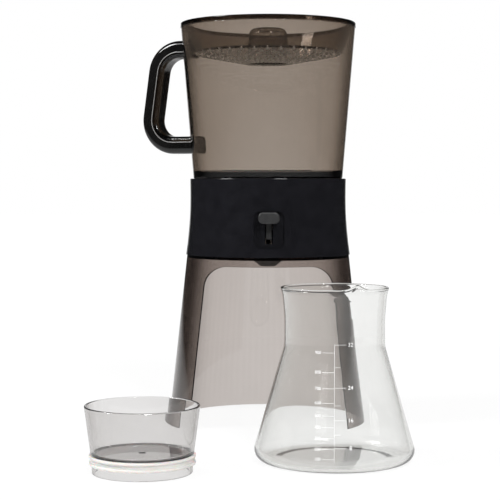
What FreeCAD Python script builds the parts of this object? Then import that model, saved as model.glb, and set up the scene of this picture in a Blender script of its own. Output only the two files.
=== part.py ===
import FreeCAD, Part
import math
import os
from types import SimpleNamespace

import Sketcher

# Cold brew coffee maker: a smoky tower (stand, collar, brewing container, rainmaker lid), its
# glass carafe and the cup that closes the carafe. Millimetres, +Z up. The origin is on the
# tower's axis, on the table. The release lever looks along -Y.

os.makedirs("parts", exist_ok=True)
doc = FreeCAD.newDocument("ColdBrewMaker")
sheet = doc.addObject("Spreadsheet::Sheet", "Sizes")

# Driving dimensions, in millimetres and degrees
SIZES = {
    # stand
    "tower_radius": 75.6,
    "stand_top": 162.5,
    "foot_flare": 18.0,
    "shoulder_step": 1.0,
    "shell_wall": 2.6,
    "flange_thick": 3.0,
    "flange_width": 21.0,
    "arch_drop": 8.9,
    "arch_side_top": 20.5,
    "arch_side_foot": 22.0,
    "arch_corner": 22.0,
    # collar
    "collar_height": 73.8,
    "collar_flare": 4.4,
    "collar_lip": 0.6,
    "collar_waist_rise": 33.5,
    "collar_flare_round": 400.0,
    "cover_wall": 2.6,
    "cover_edge_round": 0.8,
    "ledge_rise": 43.5,
    "ledge_thick": 3.0,
    "ledge_width": 5.6,
    # release switch
    "recess_width": 28.8,
    "recess_rise": 8.3,
    "recess_height": 34.6,
    "recess_corner": 6.5,
    "recess_depth": 2.6,
    "pan_wall": 2.5,
    "slot_width": 7.4,
    "slot_rise": 12.5,
    "slot_height": 29.4,
    "slot_corner": 0.6,
    "pivot_clear": 3.0,
    "pivot_rise": 25.5,
    "lever_thick": 5.0,
    "lever_hub_radius": 5.0,
    "lever_hub_width": 7.4,
    "lever_nose_radius": 4.0,
    "lever_web_low": 10.0,
    "lever_web_gap": 0.6,
    "lever_knee_reach": 30.0,
    "lever_knee_drop": 1.5,
    "lever_knee_round": 8.0,
    "neck_rise": 6.5,
    "neck_height": 9.0,
    "neck_reach": 6.5,
    "thumb_width": 20.0,
    "thumb_height": 11.0,
    "thumb_gap": 3.8,
    "thumb_depth": 7.2,
    "thumb_corner": 5.0,
    "thumb_edge": 1.6,
    "pin_radius": 2.0,
    "press_gap": 0.02,
    "running_gap": 0.08,
    "socket_gap": 0.1,
    # collar core and drain tube
    "core_gap": 0.2,
    "core_plate": 3.0,
    "core_lip": 1.2,
    "tube_bore": 15.0,
    "tube_wall": 2.0,
    "shelf_thick": 3.0,
    "shelf_width": 10.0,
    "post_inset": 8.8,
    "post_radius": 5.0,
    "rib_thick": 2.4,
    "rib_rise": 22.5,
    "ear_gap": 4.2,
    "ear_thick": 3.8,
    "ear_half": 6.0,
    "window_half": 12.0,
    "lever_well_half": 4.5,
    "lever_well_length": 18.0,
    "bridge_drop": 4.5,
    "bridge_thick": 4.0,
    "bridge_hub_radius": 5.5,
    # drip spout
    "spout_drop": 11.8,
    "spout_lip": 0.2,
    "spout_shoulder_drop": 4.0,
    "spout_outlet": 4.0,
    "spout_flat": 7.5,
    "spout_wall": 2.2,
    "spout_bend": 4.0,
    "spout_inner_bend": 3.2,
    "spout_inner_rise": 1.0,
    "spigot_length": 7.5,
    "spigot_gap": 0.2,
    # screws and detent
    "screw_head_radius": 3.8,
    "screw_head_depth": 2.2,
    "screw_radius": 1.9,
    "screw_length": 18.0,
    "screw_point": 1.5,
    "socket_radius": 1.2,
    "socket_depth": 0.8,
    "leaf_width": 6.0,
    "leaf_thick": 0.8,
    "leaf_foot": 12.0,
    "leaf_rise_length": 18.5,
    "leaf_tip_reach": 1.5,
    "leaf_tip_gap": 1.2,
    "leaf_screw_radius": 1.2,
    "leaf_screw_head": 2.6,
    "leaf_screw_cap": 1.8,
    "leaf_screw_cap_round": 0.6,
    "leaf_screw_short": 0.2,
    # lift rod and valve
    "rod_radius": 2.5,
    "rod_foot_radius": 6.0,
    "rod_foot_thick": 2.0,
    "rod_end_round": 0.8,
    "lift_gap": 0.3,
    "gasket_lip": 1.8,
    "gasket_brim": 2.6,
    "gasket_thick": 2.0,
    "gasket_round": 0.5,
    "plug_brim": 2.2,
    "plug_thick": 3.5,
    "plug_gap": 0.2,
    "plug_round": 1.2,
    "stem_radius": 2.5,
    "stem_flange_radius": 6.5,
    "stem_flange_thick": 1.0,
    "stem_reach": 6.5,
    "cage_gap": 0.4,
    "cage_post_inset": 0.1,
    "cage_post_root": 1.0,
    "cage_foot_width": 4.0,
    "cage_foot": 2.4,
    "cage_height": 19.4,
    "cage_roof": 1.6,
    "cage_post_width": 4.0,
    "cage_post_depth": 2.6,
    "cage_hole": 3.2,
    "spring_radius": 4.6,
    "spring_wire": 0.8,
    "spring_turns": 4,
    # brewing container
    "container_height": 142.4,
    "container_flare": 12.0,
    "container_gap": 0.8,
    "container_wall": 2.8,
    "rim_round": 0.8,
    "floor_rise": 4.3,
    "floor_thick": 4.2,
    "base_round": 1.4,
    "floor_round": 4.0,
    "skirt_step": 0.8,
    "skirt_taper": 0.4,
    "skirt_wall": 2.4,
    "well_radius": 41.0,
    "well_wall": 2.4,
    "well_depth": 21.6,
    "well_floor": 2.6,
    "drain_radius": 8.0,
    "nozzle_wall": 3.0,
    "nozzle_length": 8.5,
    "cage_seat_high": 2.0,
    "cage_seat_wall": 1.8,
    # handle
    "handle_back_turn": 23.5,
    "handle_top_drop": 18.2,
    "handle_height": 95.1,
    "handle_top_out": 30.5,
    "handle_low_out": 56.2,
    "handle_corner": 25.0,
    "handle_thick": 17.2,
    "handle_width": 21.0,
    "handle_seam": 11.3,
    "handle_seam_gap": 0.4,
    "handle_round": 5.5,
    "handle_inner_round": 4.4,
    "handle_root": 12.0,
    "handle_trim": 30.0,
    "channel_wall": 3.2,
    "channel_round": 1.5,
    "tongue_depth": 2.2,
    "tongue_gap": 0.2,
    # rainmaker tray
    "tray_brim": 0.4,
    "tray_flange_thick": 4.0,
    "tray_wall": 2.0,
    "tray_fit": 0.4,
    "tray_taper": 9.2,
    "tray_depth": 25.4,
    "tray_floor_thick": 2.2,
    "tray_flange_round": 1.0,
    "tray_floor_round": 1.5,
    "tray_dish": 9.0,
    "tray_centre_step": 2.2,
    "knob_foot_radius": 20.8,
    "knob_radius": 18.3,
    "knob_height": 34.7,
    "knob_wall": 2.2,
    "knob_round": 6.5,
    "hole_radius": 1.1,
    "hole_row": 36,
    "hole_edge": 3.4,
    "hole_rings": 8,
    "hole_ring_crowd": 0.012,
    "hole_turn": 1.0,
    # filter
    "filter_overlap": 2.4,
    "filter_gasket_high": 3.2,
    "filter_gasket_width": 4.4,
    "filter_seat_gap": 0.3,
    "filter_groove_gap": 0.05,
    "filter_edge_round": 0.8,
    "filter_lip_round": 0.5,
    "filter_ring_inset": 1.2,
    "filter_ring_width": 4.2,
    "filter_ring_thick": 1.4,
    "mesh_inset": 0.8,
    "mesh_thick": 0.5,
    # carafe
    "carafe_x": 53.0,
    "carafe_y": -216.0,
    "glass_wall": 1.8,
    "glass_base": 2.2,
    "glass_lip_round": 0.7,
    "carafe_cone_foot": 70.2,
    "carafe_foot_round": 9.5,
    "carafe_neck": 42.1,
    "carafe_shoulder_z": 97.0,
    "carafe_shoulder_round": 25.0,
    "carafe_neck_height": 23.0,
    "throat_flare": 1.5,
    "throat_height": 18.0,
    "lip_flare": 1.4,
    "lip_height": 7.6,
    "lip_spout_turn": -78.0,
    "lip_spout_out": 0.4,
    "lip_spout_radius": 8.0,
    "lip_spout_rise": 2.0,
    "lip_spout_in": 1.0,
    "lip_spout_tip": 1.0,
    # stopper cup
    "stopper_x": -104.0,
    "stopper_y": -268.0,
    "cup_depth": 38.4,
    "cup_flare": 6.15,
    "cup_wall": 2.2,
    "cup_floor": 16.0,
    "cup_floor_thick": 2.4,
    "cup_shoulder_drop": 0.4,
    "cup_step": 1.0,
    "cup_edge_round": 0.8,
    "cup_under_round": 1.5,
    "cup_floor_round": 2.5,
    "cup_nub_radius": 3.0,
    "cup_nub_high": 0.8,
    "cup_nub_round": 0.3,
    "seal_squeeze": 0.2,
    "seal_rib": 1.4,
    "seal_wall": 1.0,
    "seal_drop": 0.6,
    "seal_height": 8.0,
    "seal_lip": 2.6,
    "seal_fit": 0.1,
    "seal_round": 1.0,
    # how far a cutting tool runs past what it cuts
    "overrun": 2.0,
}


class Size:
    """A length or an angle: its number now, and the sheet expression that gives it."""

    def __init__(self, number, text):
        self.number = number
        self.text = text

    def __add__(self, other):
        other = as_size(other)
        return Size(self.number + other.number, f"({self.text} + {other.text})")

    def __radd__(self, other):
        return as_size(other) + self

    def __sub__(self, other):
        other = as_size(other)
        return Size(self.number - other.number, f"({self.text} - {other.text})")

    def __rsub__(self, other):
        return as_size(other) - self

    def __mul__(self, other):
        other = as_size(other)
        return Size(self.number * other.number, f"({self.text} * {other.text})")

    def __rmul__(self, other):
        return as_size(other) * self

    def __truediv__(self, other):
        other = as_size(other)
        return Size(self.number / other.number, f"({self.text} / {other.text})")

    def __neg__(self):
        return as_size(0) - self


def as_size(value):
    if isinstance(value, Size):
        return value
    return Size(float(value), repr(float(value)))


def sine(angle):
    return Size(math.sin(math.radians(angle.number)), f"sin({angle.text})")


def cosine(angle):
    return Size(math.cos(math.radians(angle.number)), f"cos({angle.text})")


def root(square):
    return Size(math.sqrt(square.number), f"sqrt({square.text})")


def fill_sheet():
    """Write each driving dimension to its row, and return them all by name."""
    named = SimpleNamespace()
    for row, (name, number) in enumerate(SIZES.items(), start=1):
        sheet.set(f"A{row}", name)
        sheet.set(f"B{row}", str(number))
        sheet.setAlias(f"B{row}", name)
        setattr(named, name, Size(float(number), f"Sizes.{name}"))
    doc.recompute()
    return named


def tie_tower(named):
    """Radii and heights of the stand, collar and switch, which follow the driving ones."""
    named.collar_waist_radius = named.tower_radius
    named.collar_foot_radius = named.tower_radius + named.collar_flare
    named.collar_top_radius = named.tower_radius + named.collar_lip
    named.shoulder_radius = named.collar_foot_radius - named.shoulder_step
    named.foot_radius = named.shoulder_radius + named.foot_flare
    named.flange_bore = named.shoulder_radius - named.flange_width
    named.arch_top = named.stand_top - named.arch_drop
    named.arch_half_top = named.shoulder_radius - named.arch_side_top
    named.arch_half_foot = named.foot_radius - named.arch_side_foot
    named.collar_top = named.stand_top + named.collar_height
    named.collar_waist_z = named.stand_top + named.collar_waist_rise
    named.ledge_z = named.stand_top + named.ledge_rise
    named.ledge_bore = named.collar_waist_radius - named.ledge_width
    named.recess_low = named.stand_top + named.recess_rise
    named.recess_high = named.recess_low + named.recess_height
    named.recess_depth_y = named.collar_waist_radius - named.recess_depth
    named.slot_low = named.stand_top + named.slot_rise
    named.slot_high = named.slot_low + named.slot_height
    named.tube_radius = named.tube_bore + named.tube_wall
    named.core_radius = named.collar_waist_radius - named.cover_wall - named.core_gap
    named.post_circle = named.core_radius - named.post_inset
    named.shelf_bore = named.ledge_bore - named.shelf_width
    named.rib_top = named.stand_top + named.rib_rise
    named.bridge_low = named.ledge_z - named.bridge_drop
    named.spout_low = named.stand_top - named.spout_drop
    named.spout_shoulder = named.stand_top - named.spout_shoulder_drop
    named.spout_radius = named.tube_radius + named.spout_lip


def tie_switch(named):
    """Places of the lever, its thumb bar, pin, ears and leaf, which follow the pivot."""
    named.lever_pivot_y = named.tube_radius + named.pivot_clear
    named.lever_pivot_z = named.stand_top + named.pivot_rise
    named.lever_knee_y = named.lever_pivot_y + named.lever_knee_reach
    named.neck_low = named.lever_pivot_z + named.neck_rise
    named.neck_high = named.neck_low + named.neck_height
    named.neck_front_y = named.recess_depth_y + named.neck_reach
    named.thumb_low = named.neck_low - (named.thumb_height - named.neck_height) / 4
    named.thumb_high = named.thumb_low + named.thumb_height
    named.thumb_back_y = named.recess_depth_y + named.thumb_gap
    named.thumb_front_y = named.thumb_back_y + named.thumb_depth
    named.pin_length = (named.ear_gap + named.ear_thick) * 2
    named.ear_back_y = named.tube_radius + named.core_gap
    named.ear_front_y = named.lever_pivot_y + named.ear_half
    named.ear_top = named.lever_pivot_z + named.ear_half
    named.window_low = named.lever_pivot_z - named.window_half
    named.window_high = named.lever_pivot_z + named.window_half
    named.lever_well_inner = named.recess_depth_y - named.lever_well_length
    named.leaf_tip_y = named.lever_pivot_y + named.leaf_tip_reach
    named.leaf_bend_y = named.leaf_tip_y + named.leaf_rise_length
    named.leaf_screw_y = named.leaf_bend_y + named.leaf_foot / 2
    named.leaf_anchor_y = named.leaf_bend_y + named.leaf_foot


def tie_container(named):
    """Radii and heights of the container, valve, handle, tray and filter."""
    named.base_radius = named.collar_top_radius - named.cover_wall - named.container_gap
    named.rim_radius = named.base_radius + named.container_flare
    named.floor_z = named.collar_top + named.floor_rise
    named.rim_z = named.floor_z + named.container_height
    named.skirt_radius = named.base_radius - named.skirt_step
    named.well_z = named.floor_z - named.well_depth
    named.nozzle_z = named.well_z - named.nozzle_length
    named.nozzle_radius = named.drain_radius + named.nozzle_wall
    named.gasket_bore = named.drain_radius - named.gasket_lip
    named.gasket_radius = named.drain_radius + named.gasket_brim
    named.plug_radius = named.drain_radius + named.plug_brim
    named.stem_low = named.well_z - named.stem_reach
    named.cage_bore = named.gasket_radius + named.cage_gap
    named.cage_radius = named.cage_bore + named.cage_foot_width
    named.cage_top = named.well_z + named.cage_height
    named.handle_top_z = named.rim_z - named.handle_top_drop
    named.handle_low_z = named.handle_top_z - named.handle_height
    named.handle_top_reach = named.rim_radius + named.handle_top_out
    named.handle_low_reach = named.base_radius + named.handle_low_out
    named.tray_flange_radius = named.rim_radius + named.tray_brim
    named.tray_wall_radius = named.rim_radius - named.container_wall - named.tray_fit
    named.tray_edge_radius = named.tray_wall_radius - named.tray_taper
    named.tray_floor_z = named.rim_z - named.tray_depth
    named.tray_centre_z = named.tray_floor_z - named.tray_dish
    named.tray_centre_radius = named.knob_foot_radius + named.tray_centre_step
    named.knob_top = named.tray_centre_z + named.knob_height
    named.hole_ring_first = named.tray_edge_radius - named.hole_edge
    named.hole_ring_last = named.knob_foot_radius + named.hole_radius * 2
    named.filter_radius = named.well_radius + named.filter_overlap
    named.filter_gasket_bore = named.filter_radius - named.filter_gasket_width
    named.filter_ring_radius = named.filter_radius - named.filter_ring_inset
    named.filter_ring_bore = named.filter_ring_radius - named.filter_ring_width
    named.mesh_radius = named.filter_ring_radius - named.mesh_inset


def tie_glassware(named):
    """Heights and radii of the carafe, and the stopper cup that fits its mouth."""
    named.carafe_flare_z = named.carafe_shoulder_z + named.carafe_neck_height
    named.carafe_throat = named.carafe_neck + named.throat_flare
    named.carafe_throat_z = named.carafe_flare_z + named.throat_height
    named.carafe_lip = named.carafe_throat + named.lip_flare
    named.carafe_top = named.carafe_throat_z + named.lip_height
    named.lip_spout_centre = named.carafe_neck + named.lip_spout_out
    named.lip_spout_root = named.carafe_neck - named.lip_spout_in
    named.lip_spout_low = named.carafe_flare_z + named.lip_spout_rise
    named.seal_radius = named.carafe_lip - named.glass_wall - named.seal_squeeze
    named.seal_root = named.seal_radius - named.seal_rib
    named.cup_foot = named.seal_root - named.seal_wall
    named.cup_rim = named.cup_foot + named.cup_flare
    named.cup_top = named.cup_floor + named.cup_depth
    named.cup_shoulder = named.cup_floor - named.cup_shoulder_drop
    named.seal_high = named.cup_shoulder - named.seal_drop
    named.seal_low = named.seal_high - named.seal_height


S = fill_sheet()
tie_tower(S)
tie_switch(S)
tie_container(S)
tie_glassware(S)
parts = []


def bind(thing, prop, size):
    thing.setExpression(prop, as_size(size).text)


def new_body(name, x=None, y=None):
    """A body for one piece, which may stand away from the tower's axis."""
    body = doc.addObject("PartDesign::Body", name)
    if x is not None:
        bind(body, "Placement.Base.x", x)
    if y is not None:
        bind(body, "Placement.Base.y", y)
    parts.append(body)
    return body


def sketch_in(body, name, role, offset=None, shift=None):
    """A sketch on one of the body's own planes. XZ offsets go to -Y, YZ to +X and XY to +Z."""
    sketch = body.newObject("Sketcher::SketchObject", name)
    plane = next(item for item in body.Origin.OriginFeatures if item.Role == role)
    sketch.AttachmentSupport = [(plane, "")]
    sketch.MapMode = "FlatFace"
    if offset is not None:
        bind(sketch, "AttachmentOffset.Base.z", offset)
    if shift is not None:
        bind(sketch, "AttachmentOffset.Base.x", shift)
    return sketch


def hold_point(sketch, index, end, corner):
    """Place one end of a sketch line by its two coordinates."""
    for kind, size in zip(("DistanceX", "DistanceY"), corner):
        held = sketch.addConstraint(Sketcher.Constraint(kind, -1, 1, index, end, size.number))
        bind(sketch, f"Constraints[{held}]", size)


def hold_radius(sketch, index, radius):
    held = sketch.addConstraint(Sketcher.Constraint("Radius", index, radius.number))
    bind(sketch, f"Constraints[{held}]", radius)


def outline(sketch, corners, closed=True):
    """Straight lines through corners (x, y), each with an optional rounding radius."""
    points = [(as_size(corner[0]), as_size(corner[1])) for corner in corners]
    first = sketch.GeometryCount
    count = len(points)
    lines = count if closed else count - 1
    for index in range(lines):
        here, there = points[index], points[(index + 1) % count]
        start = FreeCAD.Vector(here[0].number, here[1].number, 0)
        end = FreeCAD.Vector(there[0].number, there[1].number, 0)
        sketch.addGeometry(Part.LineSegment(start, end))
    for index in range(1, lines):
        joint = Sketcher.Constraint("Coincident", first + index - 1, 2, first + index, 1)
        sketch.addConstraint(joint)
    if closed:
        sketch.addConstraint(Sketcher.Constraint("Coincident", first + lines - 1, 2, first, 1))
    for index in range(lines):
        hold_point(sketch, first + index, 1, points[index])
    if not closed:
        hold_point(sketch, first + lines - 1, 2, points[-1])
    for index, corner in enumerate(corners):
        if len(corner) == 3:
            radius = as_size(corner[2])
            arc = sketch.GeometryCount
            sketch.fillet(first + index, 1, radius.number, True, True)
            hold_radius(sketch, arc, radius)
    return sketch


def circle(sketch, x, y, radius):
    x, y, radius = as_size(x), as_size(y), as_size(radius)
    centre = FreeCAD.Vector(x.number, y.number, 0)
    up = FreeCAD.Vector(0, 0, 1)
    index = sketch.addGeometry(Part.Circle(centre, up, radius.number))
    hold_point(sketch, index, 3, (x, y))
    hold_radius(sketch, index, radius)
    return sketch


def box_outline(sketch, x_low, x_high, y_low, y_high, corner=None):
    rounding = [] if corner is None else [corner]
    corners = [(x_low, y_low), (x_high, y_low), (x_high, y_high), (x_low, y_high)]
    return outline(sketch, [list(place) + rounding for place in corners])


def turned(body, kind, name, sketch):
    """Revolve or groove a sketch once round its own vertical axis."""
    feature = body.newObject(f"PartDesign::{kind}", name)
    feature.Profile = sketch
    feature.ReferenceAxis = (sketch, ["V_Axis"])
    feature.Angle = 360
    return feature


def add_lathe(body, name, corners):
    sketch = outline(sketch_in(body, f"{name}_profile", "XZ_Plane"), corners)
    return turned(body, "Revolution", name, sketch)


def cut_lathe(body, name, corners):
    sketch = outline(sketch_in(body, f"{name}_profile", "XZ_Plane"), corners)
    return turned(body, "Groove", name, sketch)


def prism(body, kind, name, sketch, length, flip=False, middle=False):
    """Pad or pocket a sketch. A pad goes along the sketch's normal, a pocket against it."""
    feature = body.newObject(f"PartDesign::{kind}", name)
    feature.Profile = sketch
    bind(feature, "Length", length)
    feature.Reversed = flip
    if middle:
        feature.SideType = "Symmetric"
    return feature


def polar(body, name, features, count):
    feature = body.newObject("PartDesign::PolarPattern", name)
    feature.Originals = features
    axis = next(item for item in body.Origin.OriginFeatures if item.Role == "Z_Axis")
    feature.Axis = (axis, [""])
    feature.Angle = 360
    bind(feature, "Occurrences", count)
    body.Tip = feature
    return feature


def dress(body, kind, prop, name, size, wanted):
    """Round or chamfer those edges of the body so far that wanted() picks."""
    doc.recompute()
    base = body.Tip
    picked = [f"Edge{n}" for n, edge in enumerate(base.Shape.Edges, start=1) if wanted(edge)]
    feature = body.newObject(f"PartDesign::{kind}", name)
    feature.Base = (base, picked)
    bind(feature, prop, size)
    return feature


def loose_solid(kind, name, **properties):
    """A Part object. Numbers and sizes are bound, links are set as they are."""
    thing = doc.addObject(f"Part::{kind}", name)
    for prop, value in properties.items():
        if isinstance(value, Size):
            bind(thing, prop.replace("__", "."), value)
        else:
            setattr(thing, prop, value)
    return thing


def loose_lathe(name, corners):
    """A solid of revolution about Z from an outline in the XZ plane, outside any body."""
    sketch = doc.addObject("Sketcher::SketchObject", f"{name}_profile")
    quarter_turn = FreeCAD.Rotation(FreeCAD.Vector(1, 0, 0), 90)
    sketch.Placement = FreeCAD.Placement(FreeCAD.Vector(), quarter_turn)
    outline(sketch, corners)
    axis = FreeCAD.Vector(0, 0, 1)
    return loose_solid("Revolution", name, Source=sketch, Axis=axis, Angle=360.0, Solid=True)


# Places, angles and counts that several pieces share
three = as_size(3)
four = as_size(4)
diagonal_turn = as_size(45)
core_floor = S.stand_top
core_top = S.ledge_z + S.shelf_thick
plate_top = core_floor + S.core_plate
tube_foot = core_floor + S.core_lip
nose_top = S.lever_pivot_z + S.lever_nose_radius
stem_flange_z = S.well_z + S.gasket_thick + S.plug_gap + S.plug_thick
cage_ceiling = S.cage_top - S.cage_roof
container_lean = (S.rim_radius - S.base_radius) / (S.rim_z - S.floor_z + S.floor_thick)


def container_radius(height):
    """Outer radius of the container's wall at a height."""
    return S.base_radius + container_lean * (height - S.floor_z + S.floor_thick)


def make_stand_shell():
    body = new_body("stand_shell")
    under_flange = S.stand_top - S.flange_thick
    add_lathe(body, "shell_turned", [
        (S.foot_radius, 0),
        (S.shoulder_radius, S.stand_top),
        (S.flange_bore, S.stand_top),
        (S.flange_bore, under_flange),
        (S.shoulder_radius - S.shell_wall, under_flange),
        (S.foot_radius - S.shell_wall, 0),
    ])
    lean = (S.arch_half_foot - S.arch_half_top) / S.arch_top
    low_half = S.arch_half_foot + lean * S.overrun
    arch = outline(sketch_in(body, "arch_outline", "XZ_Plane"), [
        (-low_half, -S.overrun),
        (low_half, -S.overrun),
        (S.arch_half_top, S.arch_top, S.arch_corner),
        (-S.arch_half_top, S.arch_top, S.arch_corner),
    ])
    prism(body, "Pocket", "arch", arch, S.foot_radius + S.overrun, flip=True)
    hole = sketch_in(body, "screw_hole_outline", "XY_Plane", S.stand_top)
    diagonal = S.post_circle * cosine(diagonal_turn)
    circle(hole, diagonal, diagonal, S.screw_radius + S.running_gap)
    drilled = prism(body, "Pocket", "screw_hole", hole, S.flange_thick)
    sink = sketch_in(body, "screw_sink_outline", "XY_Plane", under_flange)
    circle(sink, diagonal, diagonal, S.screw_head_radius + S.socket_gap)
    sunk = prism(body, "Pocket", "screw_sink", sink, S.screw_head_depth + S.socket_gap, flip=True)
    polar(body, "screw_holes", [drilled, sunk], four)


def make_collar_cover():
    drum = loose_lathe("cover_drum", [
        (0, S.stand_top),
        (S.collar_foot_radius, S.stand_top),
        (S.collar_waist_radius, S.collar_waist_z, S.collar_flare_round),
        (S.collar_top_radius, S.collar_top, S.cover_edge_round),
        (0, S.collar_top),
    ])
    inner_waist = S.collar_waist_radius - S.cover_wall
    ledge_low = S.ledge_z - S.ledge_thick
    hollow = loose_lathe("cover_hollow", [
        (0, S.stand_top - S.overrun),
        (S.collar_foot_radius - S.cover_wall, S.stand_top - S.overrun),
        (S.collar_foot_radius - S.cover_wall, S.stand_top),
        (inner_waist, ledge_low),
        (S.ledge_bore, ledge_low),
        (S.ledge_bore, S.ledge_z),
        (inner_waist, S.ledge_z),
        (S.collar_top_radius - S.cover_wall, S.collar_top),
        (S.collar_top_radius - S.cover_wall, S.collar_top + S.overrun),
        (0, S.collar_top + S.overrun),
    ])
    pan_half = S.recess_width / 2 + S.pan_wall
    pan_inner = S.recess_depth_y - S.pan_wall
    pan = loose_solid(
        "Box", "switch_pan",
        Length=pan_half * 2,
        Width=S.collar_foot_radius - pan_inner,
        Height=ledge_low - S.recess_low + S.pan_wall,
        Placement__Base__x=-pan_half,
        Placement__Base__y=-S.collar_foot_radius,
        Placement__Base__z=S.recess_low - S.pan_wall,
    )
    cavity = loose_solid("Cut", "cover_cavity", Base=hollow, Tool=pan)
    ring = loose_solid("Cut", "cover_ring", Base=drum, Tool=cavity)
    recess = front_prism(
        "switch_recess", S.recess_width, S.recess_low, S.recess_high, S.recess_corner,
        S.recess_depth_y)
    slot = front_prism(
        "switch_slot", S.slot_width, S.slot_low, S.slot_high, S.slot_corner,
        pan_inner - S.pan_wall)
    open_front = loose_solid("MultiFuse", "switch_opening", Shapes=[recess, slot])
    cover = loose_solid("Cut", "collar_cover", Base=ring, Tool=open_front)
    parts.append(cover)


def front_prism(name, width, low, high, corner, inner_y):
    """A block with rounded corners, from inner_y out past the front of the collar."""
    sketch = doc.addObject("Sketcher::SketchObject", f"{name}_outline")
    quarter_turn = FreeCAD.Rotation(FreeCAD.Vector(1, 0, 0), 90)
    sketch.Placement = FreeCAD.Placement(FreeCAD.Vector(), quarter_turn)
    bind(sketch, "Placement.Base.y", -inner_y)
    box_outline(sketch, -width / 2, width / 2, low, high, corner)
    front = FreeCAD.Vector(0, -1, 0)
    block = loose_solid("Extrusion", name, Base=sketch, Dir=front, DirMode="Custom", Solid=True)
    bind(block, "LengthFwd", S.collar_foot_radius)
    return block


def make_collar_core():
    body = new_body("collar_core")
    tube_seat = S.tube_radius + S.socket_gap
    add_lathe(body, "core_turned", [
        (S.tube_bore, core_floor),
        (S.core_radius, core_floor),
        (S.core_radius, plate_top),
        (tube_seat, plate_top),
        (tube_seat, tube_foot),
        (S.tube_bore, tube_foot),
    ])
    diagonal = S.post_circle * cosine(diagonal_turn)
    post_sketch = sketch_in(body, "post_outline", "XY_Plane", plate_top)
    circle(post_sketch, diagonal, diagonal, S.post_radius)
    post = prism(body, "Pad", "post", post_sketch, S.ledge_z - plate_top)
    rib_sketch = sketch_in(body, "rib_outline", "XY_Plane", plate_top)
    half = S.rib_thick / 2 * root(as_size(2))
    near = (tube_seat + S.core_gap) * cosine(diagonal_turn) + half
    outline(rib_sketch, [
        (near, near - half),
        (diagonal, diagonal - half),
        (diagonal, diagonal + half),
        (near - half, near),
    ])
    rib = prism(body, "Pad", "rib", rib_sketch, S.rib_top - plate_top)
    polar(body, "posts", [post, rib], four)
    add_lathe(body, "shelf", [
        (S.shelf_bore, S.ledge_z),
        (S.collar_waist_radius - S.cover_wall - S.socket_gap, S.ledge_z),
        (S.collar_waist_radius - S.cover_wall - S.socket_gap, core_top),
        (S.shelf_bore, core_top),
    ])
    for side, name in ((-1, "ear_left"), (1, "ear_right")):
        inner = S.ear_gap * side
        outer = (S.ear_gap + S.ear_thick) * side
        sketch = sketch_in(body, f"{name}_outline", "XY_Plane", core_floor)
        low_x, high_x = (outer, inner) if side < 0 else (inner, outer)
        box_outline(sketch, low_x, high_x, -S.ear_front_y, -S.ear_back_y)
        prism(body, "Pad", name, sketch, S.ear_top - core_floor)
    pin_bore = sketch_in(body, "pin_bore_outline", "YZ_Plane")
    circle(pin_bore, -S.lever_pivot_y, S.lever_pivot_z, S.pin_radius + S.press_gap)
    prism(body, "Pocket", "pin_bore", pin_bore, S.pin_length + S.overrun, middle=True)
    well = sketch_in(body, "lever_well_outline", "XY_Plane", plate_top)
    box_outline(
        well, -S.lever_well_half, S.lever_well_half,
        -(S.core_radius + S.overrun), -S.lever_well_inner)
    prism(body, "Pocket", "lever_well", well, S.core_plate)
    screw = sketch_in(body, "screw_hole_outline_core", "XY_Plane", core_floor)
    circle(screw, diagonal, diagonal, S.screw_radius + S.press_gap)
    drilled = prism(body, "Pocket", "core_screw_hole", screw, S.screw_length, flip=True)
    polar(body, "core_screw_holes", [drilled], four)
    leaf_hole = sketch_in(body, "leaf_hole_outline", "XY_Plane", plate_top)
    circle(leaf_hole, 0, -S.leaf_screw_y, S.leaf_screw_radius + S.press_gap)
    prism(body, "Pocket", "leaf_hole", leaf_hole, S.core_plate)


def make_drain_tube():
    """Tube round the lift rod, with the rod's guide at its top and a window for the lever."""
    body = new_body("drain_tube")
    add_lathe(body, "tube_turned", [
        (S.tube_bore, tube_foot),
        (S.tube_radius, tube_foot),
        (S.tube_radius, S.ledge_z),
        (S.tube_bore, S.ledge_z),
    ])
    arm_sketch = sketch_in(body, "bridge_arm_outline", "XY_Plane", S.bridge_low)
    arm_half = S.rib_thick / 2
    root_depth = S.tube_wall / 2
    box_outline(
        arm_sketch, -arm_half, arm_half,
        S.bridge_hub_radius - root_depth, S.tube_bore + root_depth)
    hub_sketch = circle(
        sketch_in(body, "bridge_hub_outline", "XY_Plane", S.bridge_low), 0, 0, S.bridge_hub_radius)
    arm = prism(body, "Pad", "bridge_arm", arm_sketch, S.bridge_thick)
    polar(body, "bridge_arms", [arm], three)
    prism(body, "Pad", "bridge_hub", hub_sketch, S.bridge_thick)
    bore = sketch_in(body, "bridge_bore_outline", "XY_Plane", S.bridge_low + S.bridge_thick)
    circle(bore, 0, 0, S.rod_radius + S.running_gap)
    prism(body, "Pocket", "bridge_bore", bore, S.bridge_thick)
    window = sketch_in(body, "window_outline", "XZ_Plane", S.tube_bore / 2)
    box_outline(window, -S.ear_gap, S.ear_gap, S.window_low, S.window_high)
    prism(body, "Pocket", "window", window, S.tube_radius, flip=True)


def make_drip_spout():
    body = new_body("drip_spout")
    spigot = S.tube_bore - S.spigot_gap
    inner = spigot - S.spout_wall
    add_lathe(body, "spout_turned", [
        (S.spout_outlet, S.spout_low),
        (S.spout_flat, S.spout_low),
        (S.spout_radius, S.spout_shoulder, S.spout_bend),
        (S.spout_radius, core_floor),
        (spigot, core_floor),
        (spigot, core_floor + S.spigot_length),
        (inner, core_floor + S.spigot_length),
        (inner, S.spout_shoulder + S.spout_inner_rise, S.spout_inner_bend),
        (S.spout_outlet, S.spout_low + S.spout_wall),
    ])


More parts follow.
